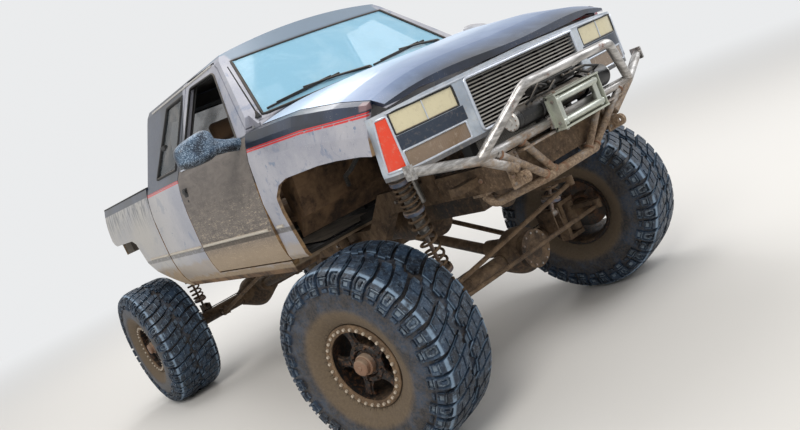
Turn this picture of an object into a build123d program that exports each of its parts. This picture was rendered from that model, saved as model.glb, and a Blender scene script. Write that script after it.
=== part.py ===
import os
from math import cos, hypot, pi, radians, sin

from build123d import *

# Lifted off-road four-by-four pickup with an extended cab, a bobbed bed and a tube bumper.
# Millimetres. Origin on the ground at the middle of the truck's length and width.
# +Z is up, the nose points along -Y and the truck's right side is -X.
# "Station" is a distance behind the front axle, "height" a distance above the sill's lower edge.

# Wheels and stance
tyre_radius = 559.0
tyre_base_radius = 527.0
tread_half_width = 214.0
tyre_half_width = 244.0
bulge_radius = 405.0
bead_radius = 226.0
bead_half_width = 172.0
lug_count = 20
lug_share = 0.6
tread_groove = 30.0
cab_rear = 2470.0
cab_to_rear_axle = 1120.0
wheelbase = cab_rear + cab_to_rear_axle
wheel_offset = 990.0
kingpin_offset = 760.0
sill_above_axle = 460.0
parked_steer = 15.0
steer_lock = 28.0

# Tube bumper
bumper_tube = 24.0
hoop_reach = 1057.0
front_reach = hoop_reach + bumper_tube

# Gaps
panel_gap = 6.0
door_gap = 9.5
seat_gap = 0.3
pin_clearance = 0.4

lug_half_angle = pi / lug_count * lug_share
lug_top_share = 0.86
axle_z = tyre_radius * cos(lug_half_angle * lug_top_share)
sill_z = axle_z + sill_above_axle
front_axle_y = front_reach - (front_reach + wheelbase + tyre_radius) / 2
rear_axle_y = front_axle_y + wheelbase

# Body widths, as half widths and heights above the sill's lower edge
side_profile = ((900, 0), (955, 120), (975, 450), (955, 700), (930, 800))
belt_line = (905, 845)
eave_line = (672, 1345)
roof_turn = (640, 1384)
roof_flat = (560, 1404)
roof_crown = 1432.0
side_widest = side_profile[2][0]
side_skin = 22.0
door_depth = 95.0
frame_depth = 46.0

# Panel lines, as stations and heights
fender_front = -655.0
nose_depth = 60.0
door_front = 500.0
door_slant = 58.0
door_rear = 1716.0
bed_front = cab_rear + 20.0
bed_rear = wheelbase + 300.0
rail_end = bed_rear - 20.0
bed_top = 852.0
bed_floor = 400.0
door_bottom = 92.0
rail_x = 360.0
rail_width = 60.0


def at(station, height):
    """Side-view point (y, z) from a station and a height above the sill."""
    return (front_axle_y + station, sill_z + height)


def cross_plane(station):
    """Plane across the truck, with local x to the left side and local y up."""
    return Plane(
        origin=(0, front_axle_y + station, 0), x_dir=(1, 0, 0), z_dir=(0, -1, 0)
    )


def side_sketch_plane(x):
    """Side-view plane at x, with local x to the rear and local y up."""
    return Plane(origin=(x, 0, 0), x_dir=(0, 1, 0), z_dir=(1, 0, 0))


os.makedirs("parts", exist_ok=True)


def keep(piece, name):
    """Labels a finished piece and writes it as one STEP file."""
    piece.part.label = name
    export_step(piece.part, f"parts/{name}.step")


def rod(start, end, radius):
    """A round bar between two points, added to the part being built."""
    line = Vector(*end) - Vector(*start)
    with BuildSketch(Plane(origin=start, z_dir=line.normalized())) as ring:
        Circle(radius)
    extrude(ring.sketch, amount=line.length)


def slab(corners, x_low, x_high, mode=Mode.ADD):
    """A side-view outline of (station, height) corners, solid from x_low to x_high."""
    with BuildSketch(side_sketch_plane(x_low)) as outline:
        with BuildLine():
            Polyline(*[at(*c) for c in corners], close=True)
        make_face()
    extrude(outline.sketch, amount=x_high - x_low, mode=mode)


def tube_path(points, bend, radius, mode=Mode.ADD):
    """A bent tube through the points, with rounded corners, added to the part or cut from it."""
    with BuildLine() as path:
        if len(points) == 2:
            Line(*points)
        else:
            FilletPolyline(*points, radius=bend)
    start = path.line @ 0
    with BuildSketch(Plane(origin=start, z_dir=path.line % 0)) as ring:
        Circle(radius)
    sweep(ring.sketch, path=path.line, mode=mode)


def box(x, y, z):
    """A box from three (low, high) pairs: x, station and height."""
    with BuildSketch(Plane.XY.offset(sill_z + z[0])) as base:
        with Locations(((x[0] + x[1]) / 2, front_axle_y + (y[0] + y[1]) / 2)):
            Rectangle(x[1] - x[0], y[1] - y[0])
    extrude(base.sketch, amount=z[1] - z[0])


def spot(x, station, height):
    """A point in space from its place across, its station and its height."""
    return (x, front_axle_y + station, sill_z + height)


def axle_spot(x, station, above):
    """A point in space from its height above the axle's centre."""
    return (x, front_axle_y + station, axle_z + above)


def tabs(x, stations, heights, half_span):
    """A pair of plates on both sides of a bush, between two stations and two heights."""
    for way in (-1, 1):
        inner = x + way * (half_span + seat_gap)
        outer = inner + way * 9
        box(
            (min(inner, outer), max(inner, outer)),
            stations,
            heights,
        )


def band(outline, station_a, station_b, side=1):
    """A front-view outline of (half width, height) points, solid between two stations."""
    with BuildSketch(cross_plane(station_a)) as face:
        with BuildLine():
            Polyline(*[(side * x, sill_z + z) for x, z in outline], close=True)
        make_face()
    extrude(face.sketch, amount=station_b - station_a, dir=(0, 1, 0))


def lower_side(side):
    """The curved lower side of the body, from the sill up to under the belt."""
    Spline(*[(side * x, sill_z + z) for x, z in side_profile])


def side_slab(side, station_a, station_b, depth, upper_depth):
    """One side of the body between two stations, a given depth inwards from the skin."""
    upper = [side_profile[-1], belt_line, eave_line, roof_turn]
    inner = [
        (roof_turn[0] - upper_depth - 6, roof_turn[1] - 14),
        (eave_line[0] - upper_depth, eave_line[1] - 12),
        (belt_line[0] - upper_depth, belt_line[1] - 12),
        (side_profile[-1][0] - depth, side_profile[-1][1] - 8),
        (side_profile[2][0] - depth, side_profile[2][1]),
        (side_profile[1][0] - depth, side_profile[1][1]),
        (side_profile[0][0] - depth + 10, side_profile[0][1]),
        side_profile[0],
    ]
    with BuildSketch(cross_plane(station_a)) as face:
        with BuildLine():
            lower_side(side)
            Polyline(*[(side * x, sill_z + z) for x, z in upper + inner])
        make_face()
    extrude(face.sketch, amount=station_b - station_a, dir=(0, 1, 0))


def window_cut(outline, side):
    """Cuts a side-view outline through one side of the body."""
    reach = side_widest + 60
    low, high = (400, reach) if side > 0 else (-reach, -400)
    slab(outline, low, high, mode=Mode.SUBTRACT)


def side_trim(outline, side):
    """Keeps only what lies inside a side-view outline."""
    reach = side_widest + 60
    low, high = (0, reach) if side > 0 else (-reach, 0)
    slab(outline, low, high, mode=Mode.INTERSECT)


# TYRES AND RIMS in their own frame: the wheel's axis is Z, and +Z is the outboard side.
rim_half_width = 178.0
rim_barrel_radius = 212.0
rim_wall = 9.0
ring_outer_radius = 236.0
ring_inner_radius = 196.0
ring_thickness = 16.0
disc_plane = 70.0
disc_thickness = 16.0
hub_radius = 92.0
hub_depth = 120.0
spindle_radius = 38.0
spindle_length = 90.0
spoke_count = 5
brake_radius = 165.0
brake_thickness = 24.0
brake_plane = -20.0


def ring_points(radius, sides, turn=0.0):
    return [
        (
            radius * cos(2 * pi * k / sides + turn),
            radius * sin(2 * pi * k / sides + turn),
        )
        for k in range(sides)
    ]


def lug_outline(turn):
    """A closed outline that rises to the lug tips and falls to the tread's base."""
    points = []
    for k in range(lug_count):
        middle = 2 * pi * k / lug_count + turn
        for angle, radius in (
            (-lug_half_angle, tyre_base_radius - 2),
            (-lug_half_angle * lug_top_share, tyre_radius),
            (lug_half_angle * lug_top_share, tyre_radius),
            (lug_half_angle, tyre_base_radius - 2),
        ):
            points.append(
                (radius * cos(middle + angle), radius * sin(middle + angle))
            )
    return points


tyre_sides = 2 * lug_count
# Columns: place along the axle, radius
carcass_sections = (
    (-bead_half_width, ring_outer_radius + 5),
    (-tyre_half_width, bulge_radius),
    (-tread_half_width, tyre_base_radius),
    (tread_half_width, tyre_base_radius),
    (tyre_half_width, bulge_radius),
    (bead_half_width, ring_outer_radius + 5),
)
with BuildPart() as tyre_master:
    for place, radius in carcass_sections:
        with BuildSketch(Plane.XY.offset(place)):
            Polygon(*ring_points(radius, tyre_sides), align=None)
    loft(ruled=True)
    for low, high, turn in (
        (tread_groove / 2, tread_half_width + 6, 0.0),
        (-tread_half_width - 6, -tread_groove / 2, pi / lug_count),
    ):
        with BuildSketch(Plane.XY.offset(low)):
            Polygon(*lug_outline(turn), align=None)
            Polygon(
                *ring_points(tyre_base_radius - 14, tyre_sides), align=None, mode=Mode.SUBTRACT
            )
        extrude(amount=high - low)
    with BuildSketch(Plane.XY.offset(-tyre_half_width)):
        Circle(bead_radius)
    extrude(amount=2 * tyre_half_width, mode=Mode.SUBTRACT)

with BuildPart() as rim_master:
    # Barrel with its two lips, turned about the wheel's axis
    with BuildSketch(Plane.XZ):
        with BuildLine():
            Polyline(
                (rim_barrel_radius - rim_wall, -rim_half_width),
                (bead_radius + 12, -rim_half_width),
                (bead_radius + 12, -bead_half_width - seat_gap),
                (bead_radius - seat_gap, -bead_half_width - seat_gap),
                (rim_barrel_radius, -bead_half_width + 40),
                (rim_barrel_radius, bead_half_width - 40),
                (bead_radius - seat_gap, bead_half_width + seat_gap),
                (ring_outer_radius, bead_half_width + seat_gap),
                (ring_outer_radius, bead_half_width + ring_thickness),
                (ring_inner_radius, bead_half_width + ring_thickness),
                (ring_inner_radius, bead_half_width),
                (rim_barrel_radius - rim_wall, bead_half_width - 30),
                close=True,
            )
        make_face()
    revolve(axis=Axis.Z)
    # Centre disc with windows between the spokes
    with BuildSketch(Plane.XY.offset(disc_plane)):
        Circle(rim_barrel_radius - rim_wall / 2)
        with PolarLocations(0, spoke_count, start_angle=90):
            with BuildLine():
                window_inner = hub_radius + 22
                window_outer = rim_barrel_radius - 26
                window_inner_angle = radians(17)
                window_outer_angle = radians(25)
                inner_a = (
                    window_inner * cos(window_inner_angle),
                    window_inner * sin(window_inner_angle),
                )
                inner_b = (inner_a[0], -inner_a[1])
                outer_a = (
                    window_outer * cos(window_outer_angle),
                    window_outer * sin(window_outer_angle),
                )
                outer_b = (outer_a[0], -outer_a[1])
                Polyline(outer_b, inner_b, inner_a, outer_a)
                ThreePointArc(outer_a, (window_outer, 0), outer_b)
            make_face(mode=Mode.SUBTRACT)
    extrude(amount=disc_thickness)
    # Hub, brake disc and blind bore for the spindle
    with BuildSketch(Plane.XY.offset(brake_plane)):
        Circle(hub_radius)
    extrude(amount=hub_depth)
    with BuildSketch(Plane.XY.offset(brake_plane)):
        Circle(brake_radius)
    extrude(amount=brake_thickness)
    with BuildSketch(Plane.XY.offset(brake_plane + hub_depth)):
        Circle(hub_radius * 0.62)
    extrude(amount=46)
    with BuildSketch(Plane.XY.offset(brake_plane)):
        Circle(spindle_radius + pin_clearance)
    extrude(amount=spindle_length + seat_gap, mode=Mode.SUBTRACT)


def steered(x, y, steer):
    """A point given from the kingpin, turned about it by the steering angle."""
    turn = radians(steer)
    return (x * cos(turn) - y * sin(turn), x * sin(turn) + y * cos(turn))


def wheel_plane(side, axle_y, steer):
    """Wheel frame: origin at the tyre's centre, z outboard, x up."""
    dx, dy = steered(side * (wheel_offset - kingpin_offset), 0, steer)
    out_x, out_y = steered(side, 0, steer)
    return Plane(
        origin=(side * kingpin_offset + dx, axle_y + dy, axle_z),
        x_dir=(0, 0, 1),
        z_dir=(out_x, out_y, 0),
    )


# Columns: name, side of the truck, axle place, steering angle
wheel_places = (
    ("front_right", -1, front_axle_y, parked_steer),
    ("front_left", 1, front_axle_y, parked_steer),
    ("rear_right", -1, rear_axle_y, 0.0),
    ("rear_left", 1, rear_axle_y, 0.0),
)
for name, side, axle_y, steer in wheel_places:
    with BuildPart() as tyre:
        with Locations(wheel_plane(side, axle_y, steer)):
            add(tyre_master.part)
    keep(tyre, f"tyre_{name}")
    with BuildPart() as rim:
        with Locations(wheel_plane(side, axle_y, steer)):
            add(rim_master.part)
    keep(rim, f"rim_{name}")

# FRAME
rail_nose = -860.0
rail_foot = 100.0
tray_top = 250.0
fairlead_back = -938.0
engine_back = 350.0
firewall_face = 520.0
rail_outline = (
    (rail_nose, rail_foot), (190, rail_foot), (420, -100), (cab_rear + 50, -100), (cab_rear + 380, 120),
    (rail_end, 120), (rail_end, 245), (cab_rear + 320, 245), (cab_rear + 30, 30), (480, 30),
    (250, 230), (rail_nose, 230),
)
rail_outer = rail_x + rail_width
block_half = 170.0
bed_rib_low = bed_floor - 40.0
bed_mount_stations = (cab_rear + 230, wheelbase - 410, wheelbase + 110)
floor_low = 45.0
floor_high = 80.0
link_bush_radius = 32.0
link_bush_half = 20.0
link_radius = 17.0
lower_link_front = (430.0, 110.0, -475.0)
lower_link_frame = (390.0, 1050.0, -150.0)
rear_link_axle = (430.0, wheelbase - 120.0, -475.0)
rear_link_frame = (390.0, wheelbase - 1260.0, -150.0)
front_shock_top = (600.0, -265.0, 415.0)
front_shock_foot = (470.0, -130.0, -340.0)
rear_shock_top = (560.0, wheelbase + 60.0, 300.0)
rear_shock_foot = (520.0, wheelbase + 130.0, -370.0)
shock_eye_radius = 22.0
shock_eye_half = 22.0
with BuildPart() as frame:
    for side in (-1, 1):
        low, high = sorted((side * rail_x, side * rail_outer))
        slab(rail_outline, low, high)
    # Engine mounts
    for side in (-1, 1):
        box(sorted((side * (block_half + seat_gap), side * (rail_x + 5))), (0, 60), (90, 118))
    # Shock towers and link brackets
    for side in (-1, 1):
        top_x, top_y, top_z = front_shock_top
        band(
            ((rail_outer - 10, 120), (rail_outer - 10, 470), (top_x + 34, 470),
             (top_x + 34, 452), (rail_outer + 14, 452), (rail_outer + 14, 120)),
            top_y - 45,
            top_y + 45,
            side,
        )
        tabs(side * top_x, (top_y - 22, top_y + 22), (top_z - 24, 456), shock_eye_half)
        top_x, top_y, top_z = rear_shock_top
        band(
            ((rail_outer - 10, 130), (rail_outer - 10, 352), (top_x + 34, 352),
             (top_x + 34, 334), (rail_outer + 14, 334), (rail_outer + 14, 130)),
            top_y - 45,
            top_y + 45,
            side,
        )
        tabs(side * top_x, (top_y - 22, top_y + 22), (top_z - 24, 338), shock_eye_half)
        for x, y, z in (lower_link_frame, rear_link_frame):
            tabs(side * x, (y - 30, y + 30), (z - 30, -92), link_bush_half)
        # Body mounts
        for y in (620, 1500, cab_rear - 170):
            box(sorted((side * (rail_outer - 5), side * 560)), (y, y + 90), (-60, -20))
            with BuildSketch(Plane.XY.offset(sill_z - 20)):
                with Locations((side * 520, front_axle_y + y + 45)):
                    Circle(34)
            extrude(amount=20 + floor_low - seat_gap)
        for y in bed_mount_stations:
            box(
                sorted((side * (rail_x + 5), side * (rail_outer - 5))),
                (y, y + 60),
                (205, bed_rib_low - seat_gap),
            )
        # Front body mount horns
        box(sorted((side * (rail_outer - 5), side * 560)), (-640, -560), (150, 190))
keep(frame, "frame")

# Crossmembers stand between the rails, and the drop member hangs under them
with BuildPart() as crossmembers:
    for low, high, bottom, top in (
        (-840, -785, 105, 225),
        (-470, -400, 105, 160),
        (cab_rear - 510, cab_rear - 430, -95, -40),
        (cab_rear - 110, cab_rear - 50, -95, 25),
        (wheelbase - 590, wheelbase - 530, 130, 235),
        (rail_end - 70, rail_end - 5, 125, 240),
    ):
        box((-rail_x, rail_x), (low, high), (bottom, top))
    band(
        ((-rail_outer, -100), (-rail_outer, -320), (rail_outer, -320), (rail_outer, -100),
         (rail_x, -100), (rail_x, -275), (-rail_x, -275), (-rail_x, -100)),
        1240,
        1320,
    )
keep(crossmembers, "crossmembers")

# TUBE BUMPER
plate_thickness = 10.0
tow_bore = 11.5
wing_end = (900.0, -790.0, 380.0)
joint = (600.0, -900.0, 296.0)
hoop_bend = (330.0, -hoop_reach, 527.0)
lower_bend = (380.0, -640.0, 30.0)
lower_bar_front = -860.0


def mirrored_path(*half):
    """A path's points from the right to the left, given those of the left half from the middle."""
    return [spot(-x, *rest) for x, *rest in reversed(half)] + [spot(*point) for point in half]


bar_path = mirrored_path(joint, wing_end)
hoop_path = mirrored_path(hoop_bend, joint)
with BuildPart() as bumper_bar:
    tube_path(bar_path, 60, bumper_tube)
    for side in (-1, 1):
        box(
            sorted((side * (wing_end[0] - 5), side * (wing_end[0] + 5))),
            (wing_end[1] - 34, wing_end[1] + 34),
            (wing_end[2] - 34, wing_end[2] + 34),
        )
    # Fairlead's seat
    box((-110, 250), (fairlead_back + seat_gap, -912), (262, 322))
keep(bumper_bar, "bumper_bar")

# The hoop's ends are notched to sit on the bar
with BuildPart() as bumper_hoop:
    tube_path(hoop_path, 90, bumper_tube)
    tube_path(bar_path, 60, bumper_tube + seat_gap, Mode.SUBTRACT)
keep(bumper_hoop, "bumper_hoop")

with BuildPart() as bumper_lower:
    for side in (-1, 1):
        rod(spot(side * joint[0], *joint[1:]), spot(side * 400, -891, 182), bumper_tube)
        rod(spot(side * 330, -902, 296), spot(side * 130, lower_bar_front, 60), bumper_tube * 0.8)
        rod(spot(side * 500, -908, 290), spot(side * 190, lower_bar_front, 62), bumper_tube * 0.8)
    tube_path(bar_path, 60, bumper_tube + seat_gap, Mode.SUBTRACT)
    tube_path(hoop_path, 90, bumper_tube + seat_gap, Mode.SUBTRACT)
    tube_path(
        mirrored_path((200, lower_bar_front, 60), lower_bend, (390, -600, 80)), 40, bumper_tube
    )
    for side in (-1, 1):
        box(
            sorted((side * rail_x, side * (rail_outer + 5))), (-650, -550), (86, rail_foot - seat_gap)
        )
        # Shackle tabs
        with BuildSketch(side_sketch_plane(side * 390 - 10)):
            with Locations(at(-915, 130)):
                Circle(tow_bore + 19)
            with Locations(at(-890, 130)):
                Rectangle(50, 2 * (tow_bore + 19))
            with Locations(at(-915, 130)):
                Circle(tow_bore, mode=Mode.SUBTRACT)
        extrude(amount=20)
        # Mounting plates against the frame horns
        box(
            sorted((side * (rail_x - 20), side * (rail_outer + 20))),
            (rail_nose - seat_gap - plate_thickness, rail_nose - seat_gap),
            (90, 260),
        )
    # Winch tray
    box((-345, 480), (-925, rail_nose - 1), (240, tray_top))
keep(bumper_lower, "bumper_lower")

# WINCH AND FAIRLEAD
winch_axis = (-872.0, 380.0)
with BuildPart() as winch:
    # Columns: low x, high x, radius
    for low, high, radius in (
        (-290, -60, 52), (-60, 240, 34), (-75, -60, 56), (240, 255, 56), (255, 450, 58),
    ):
        with BuildSketch(Plane(origin=spot(low, *winch_axis), x_dir=(0, 1, 0), z_dir=(1, 0, 0))):
            Circle(radius)
        extrude(amount=high - low)
    for x in (-90, 255):
        box((x, x + 15), (-868, -812), (tray_top + seat_gap, 390))
    box((-120, 220), (-905, -835), (446, 530))
    box((40, 60), (-880, -850), (400, 450))
keep(winch, "winch")

with BuildPart() as fairlead:
    box((-120, 260), (fairlead_back - 8, fairlead_back), (240, 420))
    for z in (272, 388):
        with BuildSketch(Plane(origin=spot(-100, -975, z), x_dir=(0, 1, 0), z_dir=(1, 0, 0))):
            Circle(22)
        extrude(amount=340)
    for x in (-62, 202):
        with BuildSketch(Plane.XY.offset(sill_z + 250)):
            with Locations((x, front_axle_y - 975)):
                Circle(18)
        extrude(amount=160)
    for z in (243, 408):
        box((-112, 252), (-1000, -940), (z, z + 9))
keep(fairlead, "fairlead")

# ENGINE AND DRIVELINE
front_diff_x = 220.0
with BuildPart() as engine:
    box((-block_half, block_half), (-290, engine_back), (-60, 230))
    for side in (-1, 1):
        band(((20, 150), (130, 60), (275, 300), (165, 390)), -260, 330, side)
    box((-90, 90), (-200, 300), (220, 480))
    with BuildSketch(Plane(origin=spot(0, -330, 60), x_dir=(1, 0, 0), z_dir=(0, 1, 0))):
        Circle(95)
    extrude(amount=45)
keep(engine, "engine")

with BuildPart() as driveline:
    with BuildSketch(cross_plane(engine_back + seat_gap)):
        with Locations((0, sill_z - 90)):
            Circle(118)
    extrude(amount=330, dir=(0, 1, 0))
    with BuildSketch(cross_plane(680)):
        with Locations((0, sill_z - 100)):
            Circle(85)
    extrude(amount=440, dir=(0, 1, 0))
    box((-170, 170), (1115, 1400), (-275 + seat_gap, 10))
    rod(spot(150, 1125, -160), spot(front_diff_x, 300, -430), 36)
    rod(spot(0, 1390, -110), spot(0, wheelbase - 300, -400), 40)
keep(driveline, "driveline")

# AXLES
axle_tube_radius = 50.0
yoke_reach = 104.0
yoke_thickness = 26.0
yoke_radius = 40.0
pin_radius = 14.0
knuckle_half = yoke_reach - 6.0
diff_radius = 150.0
arm_length = 200.0


def banjo(x, station, radius, half_width, end_radius):
    """A swollen axle housing, turned about the axle's line."""
    centre = axle_spot(x, station, 0)
    with BuildSketch(Plane(origin=centre, x_dir=(1, 0, 0), z_dir=(0, -1, 0))) as half:
        with BuildLine():
            Line((-half_width, 0), (-half_width, end_radius))
            Spline(
                (-half_width, end_radius),
                (-half_width * 0.55, radius * 0.74),
                (0, radius),
                (half_width * 0.55, radius * 0.74),
                (half_width, end_radius),
            )
            Polyline((half_width, end_radius), (half_width, 0), (-half_width, 0))
        make_face()
    revolve(half.sketch, axis=Axis(centre, (1, 0, 0)))


with BuildPart() as front_axle:
    rod(axle_spot(-650, 0, 0), axle_spot(650, 0, 0), axle_tube_radius)
    banjo(front_diff_x, 0, diff_radius, 180, axle_tube_radius + 8)
    with BuildSketch(cross_plane(-138)):
        with Locations((front_diff_x, axle_z)):
            Circle(118)
    extrude(amount=120, dir=(0, 1, 0))
    with BuildSketch(cross_plane(100)):
        with Locations((front_diff_x, axle_z + 30)):
            Circle(58)
    extrude(amount=170, dir=(0, 1, 0))
    for side in (-1, 1):
        for way in (-1, 1):
            low, high = sorted((way * yoke_reach, way * (yoke_reach + yoke_thickness)))
            with BuildSketch(Plane.XY.offset(axle_z + low)):
                with Locations((side * kingpin_offset, front_axle_y)):
                    Circle(yoke_radius)
                with Locations((side * (kingpin_offset + 640) / 2, front_axle_y)):
                    Rectangle(kingpin_offset - 640, 2 * yoke_radius)
            extrude(amount=high - low)
            with BuildSketch(Plane.XY.offset(axle_z + low)):
                with Locations((side * kingpin_offset, front_axle_y)):
                    Circle(pin_radius + pin_clearance)
            extrude(amount=high - low, mode=Mode.SUBTRACT)
        with BuildSketch(Plane.XY.offset(axle_z - yoke_reach - yoke_thickness)):
            with Locations((side * 645, front_axle_y)):
                Rectangle(30, 2 * yoke_radius)
        extrude(amount=2 * (yoke_reach + yoke_thickness))
        x, y, z = lower_link_front
        tabs(side * x, (15, y + 34), (z - 30, z + 40), link_bush_half)
        x, y, z = front_shock_foot
        tabs(side * x, (y - 24, -10), (z - 130, z + 24), shock_eye_half)
keep(front_axle, "front_axle")

hub_face = wheel_offset + brake_plane
with BuildPart() as rear_axle:
    rod(axle_spot(-hub_face + 20, wheelbase, 0), axle_spot(hub_face - 20, wheelbase, 0), 58)
    for side in (-1, 1):
        rod(
            axle_spot(side * (hub_face - 40), wheelbase, 0),
            axle_spot(side * (hub_face + spindle_length - 4), wheelbase, 0),
            spindle_radius,
        )
        x, y, z = rear_link_axle
        tabs(side * x, (y - 34, wheelbase - 15), (z - 30, z + 40), link_bush_half)
        x, y, z = rear_shock_foot
        tabs(side * x, (wheelbase + 10, y + 24), (z - 100, z + 24), shock_eye_half)
    banjo(0, wheelbase, diff_radius + 15, 200, 70)
    with BuildSketch(cross_plane(wheelbase + 30)):
        with Locations((0, axle_z)):
            Circle(130)
    extrude(amount=130, dir=(0, 1, 0))
    with BuildSketch(cross_plane(wheelbase - 290)):
        with Locations((0, axle_z + 55)):
            Circle(62)
    extrude(amount=200, dir=(0, 1, 0))
keep(rear_axle, "rear_axle")

with BuildPart() as suspension_links:
    for side in (-1, 1):
        for a, b in ((lower_link_front, lower_link_frame), (rear_link_axle, rear_link_frame)):
            rod(spot(side * a[0], *a[1:]), spot(side * b[0], *b[1:]), link_radius)
            for x, y, z in (a, b):
                rod(
                    spot(side * x - link_bush_half, y, z),
                    spot(side * x + link_bush_half, y, z),
                    link_bush_radius,
                )
keep(suspension_links, "suspension_links")

spring_radius = 62.0
spring_bore = 44.0
shock_radius = 30.0


def between(a, b, share):
    return tuple(p + (q - p) * share for p, q in zip(a, b))


shock_places = ((front_shock_foot, front_shock_top), (rear_shock_foot, rear_shock_top))
with BuildPart() as shocks:
    for side in (-1, 1):
        for foot, top in shock_places:
            foot_point = spot(side * foot[0], *foot[1:])
            top_point = spot(side * top[0], *top[1:])
            rod(foot_point, between(foot_point, top_point, 0.5), 12)
            rod(
                between(foot_point, top_point, 0.45),
                between(foot_point, top_point, 0.92),
                shock_radius,
            )
            rod(between(foot_point, top_point, 0.9), top_point, 16)
            rod(
                between(foot_point, top_point, 0.1),
                between(foot_point, top_point, 0.13),
                spring_radius,
            )
            rod(
                between(foot_point, top_point, 0.84),
                between(foot_point, top_point, 0.87),
                spring_radius,
            )
            for x, y, z in (foot, top):
                rod(
                    spot(side * x - shock_eye_half, y, z),
                    spot(side * x + shock_eye_half, y, z),
                    shock_eye_radius,
                )
keep(shocks, "shocks")

with BuildPart() as springs:
    for side in (-1, 1):
        for foot, top in shock_places:
            start = Vector(*between(spot(side * foot[0], *foot[1:]), spot(side * top[0], *top[1:]), 0.13))
            end = Vector(*between(spot(side * foot[0], *foot[1:]), spot(side * top[0], *top[1:]), 0.84))
            line = end - start
            with BuildSketch(Plane(origin=start + line.normalized() * seat_gap, z_dir=line.normalized())):
                Circle(spring_radius - 4)
                Circle(spring_bore, mode=Mode.SUBTRACT)
            extrude(amount=line.length - 2 * seat_gap)
keep(springs, "springs")

with BuildPart() as fuel_tank:
    box((-rail_x + seat_gap, rail_x - seat_gap), (wheelbase - 500, wheelbase - 210), (20, 180))
    fillet(fuel_tank.edges().filter_by(Axis.X), 40)
keep(fuel_tank, "fuel_tank")

# STEERING
stub_radius = 58.0
rod_end_radius = 24.0
rod_end_half = 15.0
tie_rod_radius = 18.0
arm_plane = 50.0
arm_thickness = 28.0
tie_rod_plane = arm_plane - arm_thickness / 2 - rod_end_half - seat_gap
drag_low_plane = arm_plane + arm_thickness / 2 + rod_end_half + seat_gap
pitman_pivot = (325.0, -250.0)
pitman_plane = 345.0
pitman_thickness = 24.0
drag_high_plane = pitman_plane - pitman_thickness / 2 - rod_end_half - seat_gap


def arm_end(x, station):
    """Free end of an arm that points forward when the wheels are straight."""
    dx, dy = steered(0, -arm_length, parked_steer)
    return (x + dx, station + dy)


for name, side in (("right", -1), ("left", 1)):
    pivot = (side * kingpin_offset, 0)
    end = arm_end(*pivot)
    out = steered(side, 0, parked_steer)
    with BuildPart() as knuckle:
        with BuildSketch(Plane.XY.offset(axle_z - knuckle_half)):
            with Locations((pivot[0], front_axle_y)):
                Circle(yoke_radius - 4)
        extrude(amount=2 * knuckle_half)
        with BuildSketch(Plane.XY.offset(axle_z - yoke_reach - yoke_thickness + 4)):
            with Locations((pivot[0], front_axle_y)):
                Circle(pin_radius)
        extrude(amount=2 * (yoke_reach + yoke_thickness - 4))
        for start, stop, radius in (
            (20, hub_face - kingpin_offset - 18, stub_radius),
            (hub_face - kingpin_offset - 30, hub_face + spindle_length - 4 - kingpin_offset,
             spindle_radius),
        ):
            rod(
                axle_spot(pivot[0] + out[0] * start, out[1] * start, 0),
                axle_spot(pivot[0] + out[0] * stop, out[1] * stop, 0),
                radius,
            )
        # Steering arm, forward of the kingpin
        with BuildSketch(Plane.XY.offset(axle_z + arm_plane - arm_thickness / 2)):
            with Locations((end[0], front_axle_y + end[1])):
                Circle(rod_end_radius)
            with BuildLine():
                foot_a = steered(-28, -20, parked_steer)
                foot_b = steered(28, -20, parked_steer)
                tip_a = steered(-rod_end_radius, -arm_length, parked_steer)
                tip_b = steered(rod_end_radius, -arm_length, parked_steer)
                Polyline(
                    *[(pivot[0] + p[0], front_axle_y + p[1]) for p in (foot_a, foot_b, tip_b, tip_a)],
                    close=True,
                )
            make_face()
        extrude(amount=arm_thickness)
        with BuildSketch(Plane.XY.offset(axle_z + arm_plane - arm_thickness / 2)):
            with Locations((end[0], front_axle_y + end[1])):
                Circle(8 + pin_clearance)
        extrude(amount=arm_thickness, mode=Mode.SUBTRACT)
    keep(knuckle, f"knuckle_{name}")


def stud(x, station, low, high):
    """A round stud of a rod end, standing up between two heights above the axle."""
    with BuildSketch(Plane.XY.offset(axle_z + low)) as ring:
        with Locations((x, front_axle_y + station)):
            Circle(8)
    extrude(ring.sketch, amount=high - low)


def rod_end(x, station, plane):
    """A rod end's round head, lying flat."""
    with BuildSketch(Plane.XY.offset(axle_z + plane - rod_end_half)) as ring:
        with Locations((x, front_axle_y + station)):
            Circle(rod_end_radius)
    extrude(ring.sketch, amount=2 * rod_end_half)


right_end = arm_end(-kingpin_offset, 0)
left_end = arm_end(kingpin_offset, 0)
pitman_end = arm_end(*pitman_pivot)
with BuildPart() as tie_rod:
    rod(axle_spot(*right_end, tie_rod_plane), axle_spot(*left_end, tie_rod_plane), tie_rod_radius - 4)
    for x, station in (right_end, left_end):
        rod_end(x, station, tie_rod_plane)
        stud(x, station, tie_rod_plane, arm_plane - 1)
keep(tie_rod, "tie_rod")

with BuildPart() as drag_link:
    rod(axle_spot(*right_end, drag_low_plane), axle_spot(*pitman_end, drag_high_plane), tie_rod_radius - 4)
    rod_end(*right_end, drag_low_plane)
    rod_end(*pitman_end, drag_high_plane)
    stud(*right_end, arm_plane + 1, drag_low_plane)
    stud(*pitman_end, drag_high_plane, pitman_plane + pitman_thickness / 2 - 2)
keep(drag_link, "drag_link")

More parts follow.
